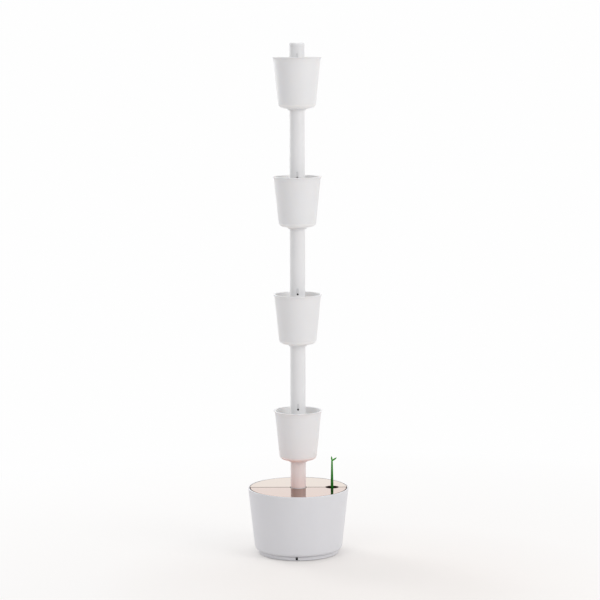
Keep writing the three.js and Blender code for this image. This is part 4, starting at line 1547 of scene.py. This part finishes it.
@dataclass(frozen=True)
class Studio:
    """Plain pale floor, soft light and the photograph's camera. Lengths are metres."""

    camera_place: Triple = (0.0070, -6.5, 1.5834)
    pitch_degrees: float = 7.066
    roll_degrees: float = -0.194
    lens_mm: float = 129.94
    backdrop: Colour = (0.992, 0.992, 0.992)
    sky: Colour = (0.97, 0.97, 0.985)
    sky_strength: float = 0.58
    floor_colour: Colour = (0.945, 0.915, 0.888)
    floor_bounce: Colour = (0.80, 0.78, 0.77)
    floor_reach: float = 60.0
    # Round this spot, to the front right, the floor shows its lit colour, darker than the backdrop white:
    # partly real shadow, partly painted shade.
    shade_middle: Triple = (0.2, -0.4, 0.0)
    floor_fade: Stops = ((0.0, 0.0), (0.3, 0.0), (0.8, 0.6), (2.0, 1.0))
    softboxes: tuple[Softbox, ...] = (
        Softbox("key_right", (3.2, -2.2, 2.2), (0, 0, 0.8), 2.2, 46.0, (1.0, 0.99, 0.98)),
        Softbox("fill_front", (-1.6, -3.6, 3.4), (0, 0, 0.8), 2.4, 19.0),
        Softbox("rim_left", (-2.4, 2.4, 1.7), (0, 0, 0.8), 1.6, 27.0),
        Softbox("rim_right", (2.6, 2.4, 1.7), (0, 0, 0.8), 1.6, 7.0),
        Softbox("back_wall", (-0.5, 5.0, 1.9), (0, 0, 0.9), 3.6, 23.5),
        Softbox("overhead", (0.0, 0.1, 4.2), (0, 0.1, 0), 3.0, 29.0),
    )

    def camera(self) -> None:
        """Sets up the photograph's camera."""
        data = bpy.data.cameras.new("photo_camera")
        data.lens = self.lens_mm
        camera = linked("photo_camera", data)
        aim = turn(90 - self.pitch_degrees, "X") @ turn(self.roll_degrees, "Z")
        camera.matrix_world = Matrix.Translation(self.camera_place) @ aim
        bpy.context.scene.camera = camera

    @staticmethod
    def seen(tree: ShaderTree) -> Number:
        """Returns 1 for rays that show the backdrop: straight, mirrored or through glass."""
        paths = tree.node("ShaderNodeLightPath").outputs
        direct, mirrored, through = (
            Number(tree, paths[name]) for name in ("Is Camera Ray", "Is Glossy Ray", "Is Transmission Ray")
        )
        return direct.larger(mirrored).larger(through)

    def world(self) -> None:
        """Sets a white surrounding with an even pale light."""
        world = bpy.data.worlds.new("pale_studio")
        world.use_nodes = True
        bpy.context.scene.world = world
        tree = ShaderTree(world.node_tree)
        seen = self.seen(tree)
        colour = tree.blend(seen, self.sky, self.backdrop)
        strength = self.sky_strength + seen * (1 - self.sky_strength)
        light = tree.node("ShaderNodeBackground", None, {"Color": colour, "Strength": strength})
        tree.node("ShaderNodeOutputWorld", None, {"Surface": light.outputs[0]})

    def floor(self) -> None:
        """Lays a pale floor that keeps the tower's shadow and fades into the backdrop."""
        half = self.floor_reach / 2
        mesh = bpy.data.meshes.new("studio_floor")
        corners = [(-half, -half, 0), (half, -half, 0), (half, half, 0), (-half, half, 0)]
        mesh.from_pydata(corners, [], [(0, 1, 2, 3)])
        floor = linked("studio_floor", mesh)
        material = bpy.data.materials.new("pale_floor")
        material.use_nodes = True
        tree = ShaderTree(material.node_tree)
        # Painted shade: near shade_middle the floor keeps its darker lit colour, and further away it fades
        # to the white backdrop.
        spot = {0: tree.place(), 1: self.shade_middle}
        length = tree.node("ShaderNodeVectorMath", {"operation": "DISTANCE"}, spot)
        away = Number(tree, length.outputs["Value"])
        end = self.floor_fade[-1][0]
        stops = tuple((distance / end, share) for distance, share in self.floor_fade)
        fade = tree.ramp(away * (1 / end), stops)
        seen = self.seen(tree)
        colour = tree.blend(seen, self.floor_bounce, self.floor_colour)
        lit = tree.node("ShaderNodeBsdfDiffuse", None, {"Color": colour})
        white = tree.node("ShaderNodeEmission", None, {"Color": opaque(self.backdrop)})
        shares = {0: seen * fade, 1: lit.outputs[0], 2: white.outputs[0]}
        mixed = tree.node("ShaderNodeMixShader", None, shares)
        tree.node("ShaderNodeOutputMaterial", None, {"Surface": mixed.outputs[0]})
        mesh.materials.append(material)
        floor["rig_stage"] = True

    def build(self) -> None:
        """Builds the whole studio."""
        bpy.context.scene.view_settings.view_transform = "Standard"
        self.camera()
        self.world()
        self.floor()
        for softbox in self.softboxes:
            softbox.build()


def main() -> None:
    """Builds the studio and every sub-assembly."""
    logging.basicConfig(level=logging.INFO, format="%(message)s")
    Studio().build()
    for assembly in (Tank(), PumpUnit(), LevelIndicator(), MirrorLid(), Post()):
        assembly.build()
    for number in range(1, Post.pot_count + 1):
        Pot(number).build()
    boxes = {"construction": construction_box, "visual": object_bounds()}
    {name: [list(corner) for corner in box] for name, box in boxes.items()}


if __name__ == "__main__":
    main()
